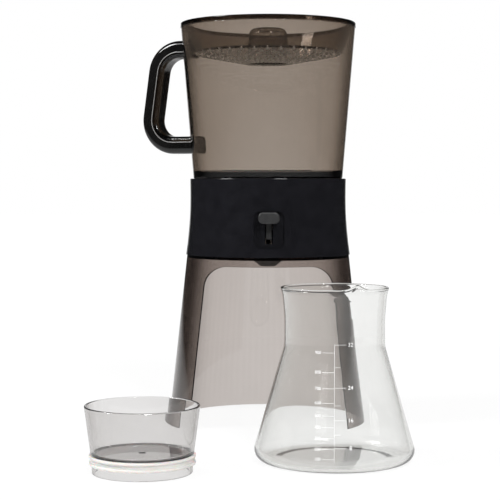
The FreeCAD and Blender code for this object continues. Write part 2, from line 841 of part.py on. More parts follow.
def make_lever_pin():
    pin = loose_solid(
        "Cylinder", "lever_pin",
        Radius=S.pin_radius,
        Height=S.pin_length,
        Placement__Base__x=-S.pin_length / 2,
        Placement__Base__y=-S.lever_pivot_y,
        Placement__Base__z=S.lever_pivot_z,
    )
    pin.Placement.Rotation = FreeCAD.Rotation(FreeCAD.Vector(0, 1, 0), 90)
    parts.append(pin)


def make_release_lever():
    """Rocker: nose under the lift rod, hub on the pin, web and neck behind the slot."""
    tangent_step = 0.4
    body = new_body("release_lever")
    web_radius = S.recess_depth_y - S.pan_wall - S.lever_pivot_y - S.lever_web_gap
    pivot_y = -S.lever_pivot_y
    neck_rise = S.neck_low - S.lever_pivot_z
    web_top_y = pivot_y - root(web_radius * web_radius - neck_rise * neck_rise)
    web_low_y = pivot_y - web_radius * cosine(S.lever_web_low)
    web_low_z = S.lever_pivot_z - web_radius * sine(S.lever_web_low)
    middle_angle = S.lever_web_low / 3
    web_mid_y = pivot_y - web_radius * cosine(middle_angle)
    web_mid_z = S.lever_pivot_z - web_radius * sine(middle_angle)
    side = outline(sketch_in(body, "lever_outline", "YZ_Plane"), [
        (0, nose_top - tangent_step),
        (pivot_y, S.lever_pivot_z + S.lever_hub_radius),
        (-S.lever_knee_y, S.neck_high - S.lever_knee_drop, S.lever_knee_round),
        (-(S.recess_depth_y - S.pan_wall), S.neck_high),
        (-S.neck_front_y, S.neck_high),
        (-S.neck_front_y, S.neck_low),
        (web_top_y, S.neck_low),
        (web_mid_y, web_mid_z),
        (web_low_y, web_low_z),
        (pivot_y, S.lever_pivot_z - S.lever_hub_radius),
        (0, S.lever_pivot_z - S.lever_nose_radius + tangent_step),
    ])
    prism(body, "Pad", "lever_plate", side, S.lever_thick, middle=True)
    nose = circle(
        sketch_in(body, "nose_outline", "YZ_Plane"), 0, S.lever_pivot_z, S.lever_nose_radius)
    prism(body, "Pad", "lever_nose", nose, S.lever_thick, middle=True)
    hub = circle(
        sketch_in(body, "hub_outline", "YZ_Plane"), pivot_y, S.lever_pivot_z, S.lever_hub_radius)
    prism(body, "Pad", "lever_hub", hub, S.lever_hub_width, middle=True)
    bore = circle(
        sketch_in(body, "hub_bore_outline", "YZ_Plane"),
        pivot_y, S.lever_pivot_z, S.pin_radius + S.running_gap)
    prism(body, "Pocket", "hub_bore", bore, S.lever_hub_width + S.overrun, middle=True)


def make_lever_thumb():
    body = new_body("lever_thumb")
    half = S.thumb_width / 2
    bar = sketch_in(body, "thumb_outline", "XZ_Plane", S.thumb_back_y)
    box_outline(bar, -half, half, S.thumb_low, S.thumb_high, S.thumb_corner)
    prism(body, "Pad", "thumb_bar", bar, S.thumb_front_y - S.thumb_back_y)

    def front_edge(edge):
        box = edge.BoundBox
        return abs(box.YMin + S.thumb_front_y.number) < 0.01 and box.YLength < 0.01
    dress(body, "Fillet", "Radius", "thumb_edges", S.thumb_edge, front_edge)
    socket_half = S.lever_thick / 2 + S.socket_gap
    socket = sketch_in(body, "thumb_socket_outline", "XZ_Plane", S.thumb_back_y)
    box_outline(
        socket, -socket_half, socket_half, S.neck_low - S.socket_gap, S.neck_high + S.socket_gap)
    depth = S.neck_front_y - S.thumb_back_y + S.socket_gap
    prism(body, "Pocket", "thumb_socket", socket, depth, flip=True)


def make_collar_screws():
    """Four countersunk screws, alike, up through the stand's flange into the core's posts."""
    body = new_body("collar_screws")
    body.Placement.Rotation = FreeCAD.Rotation(FreeCAD.Vector(0, 0, 1), 45)
    low = S.stand_top - S.flange_thick
    sketch = sketch_in(body, "screw_profile", "XZ_Plane", shift=S.post_circle)
    outline(sketch, [
        (0, low + S.socket_depth),
        (S.socket_radius, low + S.socket_depth),
        (S.socket_radius, low),
        (S.screw_head_radius, low),
        (S.screw_radius, low + S.screw_head_depth),
        (S.screw_radius, low + S.screw_length - S.screw_point),
        (0, low + S.screw_length),
    ])
    screw = turned(body, "Revolution", "screw", sketch)
    polar(body, "screws", [screw], four)


def make_detent():
    """Leaf spring under the lever's hub, and the screw that holds it to the core's plate."""
    leaf = new_body("detent_leaf")
    low = plate_top
    tip_z = S.lever_pivot_z - S.lever_hub_radius - S.leaf_tip_gap
    side = outline(sketch_in(leaf, "leaf_side", "YZ_Plane"), [
        (-S.leaf_anchor_y, low),
        (-S.leaf_bend_y, low),
        (-S.leaf_tip_y, tip_z - S.leaf_thick),
        (-S.leaf_tip_y, tip_z),
        (-S.leaf_bend_y - S.leaf_thick / 2, low + S.leaf_thick),
        (-S.leaf_anchor_y, low + S.leaf_thick),
    ])
    prism(leaf, "Pad", "leaf_strip", side, S.leaf_width, middle=True)
    hole = sketch_in(leaf, "leaf_screw_hole", "XY_Plane", low + S.leaf_thick)
    circle(hole, 0, -S.leaf_screw_y, S.leaf_screw_radius + S.running_gap)
    prism(leaf, "Pocket", "leaf_bore", hole, S.leaf_thick)

    screw = new_body("leaf_screw", y=-S.leaf_screw_y)
    head_low = low + S.leaf_thick
    add_lathe(screw, "leaf_screw_turned", [
        (0, core_floor + S.leaf_screw_short),
        (S.leaf_screw_radius, core_floor + S.leaf_screw_short),
        (S.leaf_screw_radius, head_low),
        (S.leaf_screw_head, head_low),
        (S.leaf_screw_head, head_low + S.leaf_screw_cap, S.leaf_screw_cap_round),
        (0, head_low + S.leaf_screw_cap),
    ])


def make_lift_rod():
    body = new_body("lift_rod")
    foot_low = nose_top + S.lift_gap
    rod_top = S.stem_low - S.lift_gap
    add_lathe(body, "rod_turned", [
        (0, foot_low),
        (S.rod_foot_radius, foot_low),
        (S.rod_foot_radius, foot_low + S.rod_foot_thick),
        (S.rod_radius, foot_low + S.rod_foot_thick),
        (S.rod_radius, rod_top, S.rod_end_round),
        (0, rod_top),
    ])


def make_valve():
    gasket = new_body("valve_gasket")
    under = S.well_z - S.well_floor
    add_lathe(gasket, "gasket_turned", [
        (S.gasket_bore, under),
        (S.drain_radius - S.socket_gap, under),
        (S.drain_radius - S.socket_gap, S.well_z),
        (S.gasket_radius, S.well_z),
        (S.gasket_radius, S.well_z + S.gasket_thick, S.gasket_round),
        (S.gasket_bore, S.well_z + S.gasket_thick, S.gasket_round),
    ])

    plug = new_body("valve_plug")
    plug_low = S.well_z + S.gasket_thick + S.plug_gap
    add_lathe(plug, "plug_turned", [
        (S.stem_radius + S.press_gap, plug_low),
        (S.plug_radius, plug_low),
        (S.plug_radius, stem_flange_z, S.plug_round),
        (S.stem_radius + S.press_gap, stem_flange_z),
    ])

    stem = new_body("plug_stem")
    flange_top = stem_flange_z + S.stem_flange_thick
    add_lathe(stem, "stem_turned", [
        (0, S.stem_low),
        (S.stem_radius, S.stem_low, S.rod_end_round),
        (S.stem_radius, stem_flange_z),
        (S.stem_flange_radius, stem_flange_z),
        (S.stem_flange_radius, flange_top),
        (0, flange_top),
    ])

    cage = new_body("valve_cage")
    foot_top = S.well_z + S.cage_foot
    add_lathe(cage, "cage_foot_turned", [
        (S.cage_bore, S.well_z),
        (S.cage_radius, S.well_z),
        (S.cage_radius, foot_top),
        (S.cage_bore, foot_top),
    ])
    post_low = S.well_z + S.cage_post_root
    post_sketch = sketch_in(cage, "cage_post_outline", "XY_Plane", post_low)
    half = S.cage_post_width / 2
    box_outline(
        post_sketch, S.cage_bore + S.cage_post_inset, S.cage_bore + S.cage_post_depth,
        -half, half)
    post = prism(cage, "Pad", "cage_post", post_sketch, S.cage_top - post_low)
    polar(cage, "cage_posts", [post], four)
    roof = sketch_in(cage, "cage_roof_outline", "XY_Plane", cage_ceiling)
    circle(roof, 0, 0, S.cage_bore + S.cage_post_depth)
    prism(cage, "Pad", "cage_roof_disc", roof, S.cage_roof)
    hole = sketch_in(cage, "cage_hole_outline", "XY_Plane", S.cage_top)
    circle(hole, 0, 0, S.cage_hole)
    prism(cage, "Pocket", "cage_vent", hole, S.cage_roof)


def make_valve_spring():
    """A wound wire between the stem's flange and the cage's roof, on arcs of a quarter turn."""
    mean = S.spring_radius.number
    wire = S.spring_wire.number
    turns = int(S.spring_turns.number)
    clear = S.socket_gap.number
    low = stem_flange_z.number + S.stem_flange_thick.number + wire / 2 + clear
    high = cage_ceiling.number - wire / 2 - clear
    pitch = (high - low) / turns
    quarters = turns * 4

    def on_helix(quarter):
        angle = quarter * math.pi / 2
        height = low + pitch * quarter / 4
        return FreeCAD.Vector(mean * math.cos(angle), mean * math.sin(angle), height)

    arcs = []
    for quarter in range(quarters):
        ends = on_helix(quarter), on_helix(quarter + 0.5), on_helix(quarter + 1)
        arcs.append(Part.Arc(*ends).toShape())
    path = Part.Wire(arcs)
    start = path.Edges[0]
    along = start.tangentAt(start.FirstParameter)
    section = Part.Wire([Part.makeCircle(wire / 2, on_helix(0), along)])
    shape = path.makePipeShell([section], True, False)
    spring = doc.addObject("Part::Feature", "valve_spring")
    spring.Shape = shape
    parts.append(spring)
    print("valve spring: least gap between turns", round(pitch - wire, 2), "mm")
    swept = math.pi * (wire / 2) ** 2 * path.Length
    print("valve spring: volume over section times length", round(shape.Volume / swept, 3))


def make_container():
    body = new_body("brewing_container")
    under_floor = S.floor_z - S.floor_thick
    well_outer = S.well_radius + S.well_wall
    seat_outer = S.cage_radius + S.socket_gap + S.cage_seat_wall
    add_lathe(body, "container_turned", [
        (S.rim_radius - S.container_wall, S.rim_z, S.rim_round),
        (S.rim_radius, S.rim_z, S.rim_round),
        (S.base_radius, under_floor, S.base_round),
        (S.skirt_radius, under_floor),
        (S.skirt_radius - S.skirt_taper, core_top),
        (S.skirt_radius - S.skirt_taper - S.skirt_wall, core_top),
        (S.skirt_radius - S.skirt_wall, under_floor),
        (well_outer, under_floor),
        (well_outer, S.well_z - S.well_floor, S.base_round),
        (S.nozzle_radius, S.well_z - S.well_floor),
        (S.nozzle_radius, S.nozzle_z),
        (S.drain_radius, S.nozzle_z),
        (S.drain_radius, S.well_z),
        (S.cage_radius + S.socket_gap, S.well_z),
        (S.cage_radius + S.socket_gap, S.well_z + S.cage_seat_high),
        (seat_outer, S.well_z + S.cage_seat_high),
        (seat_outer, S.well_z),
        (S.well_radius, S.well_z),
        (S.well_radius, S.floor_z),
        (container_radius(S.floor_z) - S.container_wall, S.floor_z, S.floor_round),
    ])


def handle_path(body, name):
    """Middle line of the handle, in the plane where local +X points away from the wall."""
    start = S.base_radius - S.handle_root
    sketch = sketch_in(body, name, "XZ_Plane")
    corners = [
        (start, S.handle_top_z),
        (S.handle_top_reach, S.handle_top_z, S.handle_corner),
        (S.handle_low_reach, S.handle_low_z, S.handle_corner),
        (start, S.handle_low_z),
    ]
    outline(sketch, corners, closed=False)
    return sketch, start


def sweep_handle(body, name, corners):
    """Sweep a section, given across and up from the middle line, and trim it at the wall."""
    path, start = handle_path(body, f"{name}_path")
    section = sketch_in(body, f"{name}_section", "YZ_Plane", start)
    outline(section, corners)
    pipe = body.newObject("PartDesign::AdditivePipe", f"{name}_sweep")
    pipe.Profile = section
    pipe.Spine = (path, [])
    low = S.handle_low_z - S.handle_trim
    high = S.handle_top_z + S.handle_trim
    cut_lathe(body, f"{name}_trim", [
        (0, low), (container_radius(low), low), (container_radius(high), high), (0, high),
    ])
    axis_turn = FreeCAD.Rotation(FreeCAD.Vector(0, 0, 1), 180 - S.handle_back_turn.number)
    body.Placement = FreeCAD.Placement(FreeCAD.Vector(), axis_turn)
    bind(body, "Placement.Rotation.Angle", 180 - S.handle_back_turn)


def make_handle():
    half = S.handle_width / 2
    top = S.handle_top_z + S.handle_thick / 2
    seam = top - S.handle_seam
    channel_half = half - S.channel_wall
    channel_top = top - S.channel_wall
    shell = new_body("handle_shell")
    sweep_handle(shell, "handle_shell", [
        (-half, seam),
        (-channel_half, seam),
        (-channel_half, channel_top, S.channel_round),
        (channel_half, channel_top, S.channel_round),
        (channel_half, seam),
        (half, seam),
        (half, top, S.handle_round),
        (-half, top, S.handle_round),
    ])
    liner = new_body("handle_liner")
    low = top - S.handle_thick
    liner_top = seam - S.handle_seam_gap
    tongue_half = channel_half - S.tongue_gap
    sweep_handle(liner, "handle_liner", [
        (-half, low, S.handle_inner_round),
        (half, low, S.handle_inner_round),
        (half, liner_top),
        (tongue_half, liner_top),
        (tongue_half, seam + S.tongue_depth),
        (-tongue_half, seam + S.tongue_depth),
        (-tongue_half, liner_top),
        (-half, liner_top),
    ])


def make_rainmaker():
    """Perforated lid: flange on the container's rim, dished floor, hollow knob."""
    body = new_body("rainmaker_tray")
    wall_top = S.tray_wall_radius
    flange_top = S.rim_z + S.tray_flange_thick
    thick = S.tray_floor_thick
    add_lathe(body, "tray_turned", [
        (S.tray_flange_radius, S.rim_z),
        (S.tray_flange_radius, flange_top, S.tray_flange_round),
        (wall_top - S.tray_wall, flange_top, S.tray_flange_round),
        (S.tray_edge_radius - S.tray_wall, S.tray_floor_z + thick, S.tray_floor_round),
        (S.knob_foot_radius, S.tray_centre_z + thick, S.tray_flange_round),
        (S.knob_radius, S.knob_top, S.knob_round),
        (0, S.knob_top),
        (0, S.knob_top - S.knob_wall),
        (S.knob_radius - S.knob_wall, S.knob_top - S.knob_wall, S.knob_round - S.knob_wall),
        (S.knob_foot_radius - S.knob_wall, S.tray_centre_z),
        (S.tray_centre_radius, S.tray_centre_z),
        (S.tray_edge_radius, S.tray_floor_z, S.tray_floor_round),
        (wall_top, S.rim_z),
    ])
    half_pitch = as_size(180) / S.hole_row
    above = S.tray_floor_z + thick + S.overrun
    rings = int(S.hole_rings.number)
    last_ring = rings - 1
    ring_step = (S.hole_ring_first - S.hole_ring_last) / last_ring
    for row in (0, 1):
        sketch = sketch_in(body, f"hole_row_{row}", "XY_Plane", above)
        turn = half_pitch * row - S.hole_turn
        for ring in range(row, rings, 2):
            crowding = ring_step * (1 + (last_ring - ring) * S.hole_ring_crowd)
            radius = S.hole_ring_first - crowding * ring
            circle(sketch, radius * cosine(turn), radius * sine(turn), S.hole_radius)
        holes = prism(body, "Pocket", f"drip_holes_{row}", sketch, above - S.tray_centre_z + S.overrun)
        polar(body, f"drip_ring_{row}", [holes], S.hole_row)


def make_filter():
    gasket_low = S.floor_z + S.filter_seat_gap
    gasket_top = gasket_low + S.filter_gasket_high
    ring_low = gasket_low + (S.filter_gasket_high - S.filter_ring_thick) / 2
    ring_top = ring_low + S.filter_ring_thick
    groove = S.filter_ring_radius + S.socket_gap
    groove_low = ring_low - S.filter_groove_gap
    groove_top = ring_top + S.filter_groove_gap
    gasket = new_body("filter_gasket")
    add_lathe(gasket, "filter_gasket_turned", [
        (S.filter_gasket_bore, gasket_low, S.filter_lip_round),
        (S.filter_radius, gasket_low, S.filter_edge_round),
        (S.filter_radius, gasket_top, S.filter_edge_round),
        (S.filter_gasket_bore, gasket_top, S.filter_lip_round),
        (S.filter_gasket_bore, groove_top),
        (groove, groove_top),
        (groove, groove_low),
        (S.filter_gasket_bore, groove_low),
    ])
    mesh_low = ring_low + (S.filter_ring_thick - S.mesh_thick) / 2
    mesh_top = mesh_low + S.mesh_thick
    frame = new_body("filter_frame")
    add_lathe(frame, "filter_frame_turned", [
        (S.filter_ring_bore, ring_low),
        (S.filter_ring_radius, ring_low),
        (S.filter_ring_radius, ring_top),
        (S.filter_ring_bore, ring_top),
        (S.filter_ring_bore, mesh_top),
        (S.mesh_radius, mesh_top),
        (S.mesh_radius, mesh_low),
        (S.filter_ring_bore, mesh_low),
    ])
    mesh = new_body("filter_mesh")
    add_lathe(mesh, "filter_mesh_turned", [
        (0, mesh_low),
        (S.mesh_radius, mesh_low),
        (S.mesh_radius, mesh_top),
        (0, mesh_top),
    ])


def lip_spout(name, radius, tip, inset):
    """A half-cone that leans out of the carafe's neck, between two level circles."""
    circles = []
    rings = ((S.lip_spout_low, tip, S.lip_spout_root - inset),
             (S.carafe_top + inset, radius, S.lip_spout_centre))
    for index, (height, ring_radius, away) in enumerate(rings):
        ring = doc.addObject("Part::Circle", f"{name}_ring_{index}")
        bind(ring, "Radius", ring_radius)
        bind(ring, "Placement.Base.x", away * cosine(S.lip_spout_turn))
        bind(ring, "Placement.Base.y", away * sine(S.lip_spout_turn))
        bind(ring, "Placement.Base.z", height)
        circles.append(ring)
    return loose_solid("Loft", name, Sections=circles, Solid=True, Ruled=True)


def make_carafe():
    lean = (S.carafe_cone_foot - S.carafe_neck) / S.carafe_shoulder_z
    slant = root(lean * lean + 1)
    shift = S.glass_wall * slant
    outside = loose_lathe("carafe_outside", [
        (0, 0),
        (S.carafe_cone_foot, 0, S.carafe_foot_round),
        (S.carafe_neck, S.carafe_shoulder_z, S.carafe_shoulder_round),
        (S.carafe_neck, S.carafe_flare_z),
        (S.carafe_throat, S.carafe_throat_z),
        (S.carafe_lip, S.carafe_top, S.glass_lip_round),
        (0, S.carafe_top),
    ])
    inner_neck = S.carafe_neck - S.glass_wall
    inner_foot = S.carafe_cone_foot - shift - lean * S.glass_base
    neck_corner = (S.carafe_cone_foot - shift - inner_neck) / lean
    inside = loose_lathe("carafe_inside", [
        (0, S.glass_base),
        (inner_foot, S.glass_base, S.carafe_foot_round - S.glass_wall),
        (inner_neck, neck_corner, S.carafe_shoulder_round),
        (inner_neck, S.carafe_flare_z),
        (S.carafe_throat - S.glass_wall, S.carafe_throat_z),
        (S.carafe_lip - S.glass_wall, S.carafe_top),
        (S.carafe_lip - S.glass_wall, S.carafe_top + S.overrun),
        (0, S.carafe_top + S.overrun),
    ])
    spout_outside = lip_spout("spout_outside", S.lip_spout_radius, S.lip_spout_tip, as_size(0))
    spout_inside = lip_spout(
        "spout_inside", S.lip_spout_radius - S.glass_wall, S.lip_spout_tip / 4, S.glass_wall)
    solid = loose_solid("MultiFuse", "carafe_solid", Shapes=[outside, spout_outside])
    hollow = loose_solid("Cut", "carafe_hollow", Base=solid, Tool=inside)
    glass = loose_solid("Cut", "carafe_glass", Base=hollow, Tool=spout_inside)
    bind(glass, "Placement.Base.x", S.carafe_x)
    bind(glass, "Placement.Base.y", S.carafe_y)
    parts.append(glass)


def make_stopper():
    cup = new_body("stopper_cup", S.stopper_x, S.stopper_y)
    under = S.cup_floor - S.cup_floor_thick
    step = S.cup_foot + S.cup_step
    lean = (S.cup_rim - step) / (S.cup_top - S.cup_shoulder)
    floor_radius = step + lean * (S.cup_floor - S.cup_shoulder) - S.cup_wall
    add_lathe(cup, "cup_turned", [
        (0, under),
        (S.cup_foot - S.cup_wall, under, S.cup_under_round),
        (S.cup_foot - S.cup_wall, 0),
        (S.cup_foot, 0, S.cup_edge_round),
        (S.cup_foot, S.cup_shoulder - S.cup_shoulder_drop),
        (step, S.cup_shoulder),
        (S.cup_rim, S.cup_top, S.cup_edge_round),
        (S.cup_rim - S.cup_wall, S.cup_top, S.cup_edge_round),
        (floor_radius, S.cup_floor, S.cup_floor_round),
        (S.cup_nub_radius, S.cup_floor),
        (S.cup_nub_radius, S.cup_floor + S.cup_nub_high, S.cup_nub_round),
        (0, S.cup_floor + S.cup_nub_high),
    ])
    seal = new_body("stopper_seal", S.stopper_x, S.stopper_y)
    bore = S.cup_foot + S.seal_fit
    add_lathe(seal, "seal_turned", [
        (bore, S.seal_low),
        (S.seal_radius, S.seal_low, S.seal_round),
        (S.seal_radius, S.seal_low + S.seal_lip, S.seal_round),
        (S.seal_root, S.seal_low + S.seal_lip),
        (S.seal_root, S.seal_high - S.seal_lip),
        (S.seal_radius, S.seal_high - S.seal_lip, S.seal_round),
        (S.seal_radius, S.seal_high, S.seal_round),
        (bore, S.seal_high),
    ])


def check_document():
    """Stop on any failed object or unsound piece, before anything is written."""
    faults = []
    for thing in doc.Objects:
        if "Invalid" in thing.State or "Error" in thing.State:
            faults.append(f"{thing.Name}: {thing.State}")
    for piece in parts:
        shape = piece.Shape
        if shape.isNull() or not shape.isValid() or not shape.Solids:
            faults.append(f"{piece.Label}: unsound shape")
    if faults:
        raise RuntimeError("; ".join(faults))


def write_parts():
    for piece in parts:
        piece.Shape.exportStep(os.path.join("parts", f"{piece.Label}.step"))
        box = piece.Shape.BoundBox
        size = " x ".join(f"{side:.1f}" for side in (box.XLength, box.YLength, box.ZLength))
        print(piece.Label, len(piece.Shape.Solids), "solid,", round(piece.Shape.Volume), "mm3,", size)


make_stand_shell()
make_collar_cover()
make_collar_core()
make_drain_tube()
make_drip_spout()
make_lever_pin()
make_release_lever()
make_lever_thumb()
make_collar_screws()
make_detent()
make_lift_rod()
make_valve()
make_valve_spring()
make_container()
make_handle()
make_rainmaker()
make_filter()
make_carafe()
make_stopper()
doc.recompute()
check_document()
write_parts()
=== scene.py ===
import math
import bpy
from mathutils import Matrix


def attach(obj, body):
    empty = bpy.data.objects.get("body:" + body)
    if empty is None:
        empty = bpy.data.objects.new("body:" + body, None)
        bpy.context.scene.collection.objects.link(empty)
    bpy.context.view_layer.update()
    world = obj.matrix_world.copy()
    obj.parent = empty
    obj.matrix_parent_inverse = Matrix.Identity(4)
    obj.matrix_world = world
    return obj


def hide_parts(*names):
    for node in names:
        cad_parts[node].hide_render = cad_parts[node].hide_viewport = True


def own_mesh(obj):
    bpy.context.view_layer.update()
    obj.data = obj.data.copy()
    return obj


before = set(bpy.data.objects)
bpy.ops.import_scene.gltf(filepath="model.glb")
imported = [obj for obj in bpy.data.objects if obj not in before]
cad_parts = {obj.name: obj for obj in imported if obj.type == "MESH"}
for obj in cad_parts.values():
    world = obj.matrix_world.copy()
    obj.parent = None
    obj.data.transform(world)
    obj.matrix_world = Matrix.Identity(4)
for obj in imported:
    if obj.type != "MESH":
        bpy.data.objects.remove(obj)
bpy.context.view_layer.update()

from types import SimpleNamespace

import bmesh
import bpy
from mathutils import Vector

MM = 0.001
scene = bpy.context.scene

# Camera, in metres and degrees: it stands in front of the tower, a little to its left
CAMERA_AT = (-0.0176, -1.436, 0.232)
CAMERA_DOWN = 2.62
LENS_MM = 105.5
SENSOR_MM = 36.0

# World: strengths, where 1 is white. Gloss sees it dim, but white towards the back (+Y)
ROOM_LIGHT = 0.55
FRONT_SHEEN = 0.020
BACK_START, BACK_FULL = 0.93, 0.99

# Lamps: name, degrees from the front (+ is right), height, distance, width, length, watts
SOFTBOXES = [
    ("left_softbox", -73.0, 1.35, 1.5, 0.5, 0.7, 26.0),
    ("right_softbox", 20.0, 1.45, 1.7, 0.55, 0.7, 30.0),
]
LAMP_AIM = (0, 0, 0.2)

# Floor, in metres: half its side, how far it lies under the feet, and the paper's grey
FLOOR_HALF = 9.0
FLOOR_DROP = 0.0002
PAPER_GREY = 0.86

# White that hides the paper from the camera: its share near the object, and its strength.
# The floor's shade of the object fades out between these distances
WHITE_SHARE, WHITE_STRENGTH = 0.86, 1.02
FLOOR_FADE_START, FLOOR_FADE_END = 0.35, 0.75

# The floor's reflection in gloss fades from one strength to the other between these distances
SHEEN_NEAR, SHEEN_FAR = 0.9, 0.02
SHEEN_START, SHEEN_END = 0.3, 3.5

# Edges sharper than this many degrees stay sharp, and a rounding has a point this often
SHARP_ANGLE = 32.0
ARC_STEP = 6

# Noise mostly lies between these
NOISE_LOW, NOISE_HIGH = 0.3, 0.7

# Clear plastic and glass: cycles per metre of the faint clouds, the roughness and the waves
CLEAR_CLOUDS, CLEAR_GRAIN, CLEAR_WAVES = 60.0, 400.0, 45.0
CLEAR_DULL, CLEAR_BRIGHT = (0.985, 0.985, 0.985), (1.0, 1.0, 1.0)
CLEAR_WAVE_DEPTH = 0.00002

# Painted shade goes on a face that cuts across a turned wall, where its normal keeps less than this
# share of the radius.
# The tray's thick rim starts at a height, over a blend, in metres; above it the base colour is
# darker
CUT_SHARE = 0.6
TRAY_RIM, RIM_BLEND = 0.3832, 0.0006

# Carafe, in millimetres and degrees: axis, pouring lip, the pinch and the rise beside it
CARAFE_X, CARAFE_Y = 53.0, -216.0
POUR_TURN = -78.0
POUR_LOW, POUR_TOP = 133.0, 145.6
POUR_OUT, POUR_WIDTH = 5.6, 10.0
PINCH_IN, PINCH_TURN, PINCH_WIDTH = 1.3, -97.0, 9.0
POUR_LIFT, POUR_LIFT_TURN, POUR_LIFT_WIDTH = 4.4, -70.0, 9.5

# Steps of the turned wall in degrees: fine within this angle of the pouring lip
FINE_STEP, COARSE_STEP, FINE_REACH = 1.25, 2.5, 35

# The rim's bead: radius of its middle, its own radius, and the arc it takes
RIM_RADIUS, BEAD_RADIUS = 44.0, 1.2
BEAD_START, BEAD_SWEEP, BEAD_STEPS = -40, 260, 12

# The wall's outlines as (radius, height) or (radius, height, rounding)
CARAFE_OUTSIDE = [
    (0.0, 0.5), (44.0, 0.5, 8.0), (50.0, 0.0, 4.0), (70.2, 0.0, 9.5), (42.1, 97.0, 25.0),
    (42.1, 120.0, 60.0), (43.6, 138.0, 30.0), (45.0, 143.6),
]
CARAFE_INSIDE = [
    (43.0, 143.6), (41.8, 138.0, 30.0), (40.3, 120.0, 60.0), (40.3, 96.76, 25.0),
    (67.69, 2.3, 7.7), (48.0, 2.4), (0.0, 2.6),
]

# Points of the outline nearer the axis than this are the foot's underside
FOOT_CENTRE = 30

# Graduations: degrees from the axis, heights of ticks in millimetres with their numbers
SCALE_TURN = -93.3
SCALE_LEFT = [
    (94.9, "900"), (79.5, "800"), (66.9, "700"), (55.6, "600"), (45.8, "500"), (36.9, "400"),
    (28.5, "300"), (20.2, "200"), (12.6, "100"),
]
SCALE_RIGHT = [
    (101.2, "32"), (83.4, ""), (67.5, "24"), (53.8, ""), (42.3, "16"), (31.4, ""), (21.0, "8"),
]
SCALE_TOP, SCALE_LOW = 101.6, 10.0

# Print, in millimetres: gap under it, thickness, half a line, longest flat stretch across and
# up, where ticks start and end, and the numbers' middles and heights
INK_OFF, INK, LINE_HALF = 0.02, 0.06, 0.12
INK_ACROSS, INK_UP = 1.5, 3.0
TICK_START, TICK_LONG, TICK_SHORT = 0.3, 9.6, 5.0
LEFT_NUMBER, LEFT_HIGH = -13.4, 2.5
RIGHT_NUMBER, RIGHT_HIGH = 13.2, 3.2

# Height of a figure as a share of the font's size, and the points along its curves
CAPITAL_SHARE, CURVE_STEPS = 0.72, 3

# Rainmaker tray, in millimetres: rings of holes in its dished floor
HOLE_RINGS, HOLE_ROW = 8, 36
HOLE_FIRST, HOLE_LAST, HOLE_CROWD, HOLE_TURN = 69.0, 23.0, 0.012, 1.0
DISH_LOW, DISH_HIGH, DISH_IN, DISH_OUT = 348.6, 357.6, 23.0, 72.4

# Drip tip's section as (radius, height under the floor)
TIP_SIDES = 14
TIP_SECTION = [
    (1.12, -0.06), (1.75, -0.06), (1.7, -0.7), (1.45, -1.0), (1.25, -1.0), (1.12, -0.85),
]

# Handle's joint line, in millimetres and degrees
HANDLE_TURN = 23.5
HANDLE_TOP_Z, HANDLE_LOW_Z = 364.8, 269.7
HANDLE_TOP_REACH, HANDLE_LOW_REACH, HANDLE_BEND = 115.3, 129.0, 25.0
SEAM_IN, SEAM_ACROSS, SEAM_RADIUS, SEAM_SIDES = 2.9, 10.45, 0.42, 8
WALL_AT_TOP, WALL_AT_LOW = 83.6, 75.8

# Valve spring, in millimetres
SPRING_RADIUS, SPRING_WIRE, SPRING_TURNS = 4.6, 0.8, 4
SPRING_LOW, SPRING_TOP = 226.2, 236.3
SPRING_SIDES, SPRING_STEPS = 10, 32

# Filter cloth, in millimetres, and the share of a wire's width that it waves
CLOTH_RADIUS, CLOTH_Z, CLOTH_PITCH, CLOTH_WIRE = 41.2, 242.5, 1.5, 0.2
CLOTH_WAVE = 0.55


def add_camera():
    camera = bpy.data.cameras.new("front_camera")
    camera.lens = LENS_MM
    camera.sensor_width = SENSOR_MM
    holder = bpy.data.objects.new("front_camera", camera)
    scene.collection.objects.link(holder)
    holder.location = CAMERA_AT
    holder.rotation_euler = (math.radians(90 - CAMERA_DOWN), 0, 0)
    scene.camera = holder


def math_node(nodes, links, operation, *values):
    """A Math node fed by sockets or plain numbers."""
    node = nodes.new("ShaderNodeMath")
    node.operation = operation
    for socket, value in zip(node.inputs, values):
        if isinstance(value, bpy.types.NodeSocket):
            links.new(value, socket)
        else:
            socket.default_value = value
    return node.outputs[0]


def map_range(nodes, links, value, start, end, low=0.0, high=1.0, smooth=False):
    """Map a value between start and end to low and high."""
    node = nodes.new("ShaderNodeMapRange")
    if smooth:
        node.interpolation_type = "SMOOTHSTEP"
    node.inputs["From Min"].default_value = start
    node.inputs["From Max"].default_value = end
    node.inputs["To Min"].default_value = low
    node.inputs["To Max"].default_value = high
    links.new(value, node.inputs["Value"])
    return node.outputs[0]


def mix_shaders(nodes, links, share, first, second):
    node = nodes.new("ShaderNodeMixShader")
    for socket, source in zip(node.inputs, (share, first, second)):
        links.new(source, socket)
    return node.outputs[0]


def seen_rays(nodes, links, path):
    """1 for rays from the camera, or through clear stuff."""
    kinds = path.outputs["Is Camera Ray"], path.outputs["Is Transmission Ray"]
    return math_node(nodes, links, "MAXIMUM", *kinds)


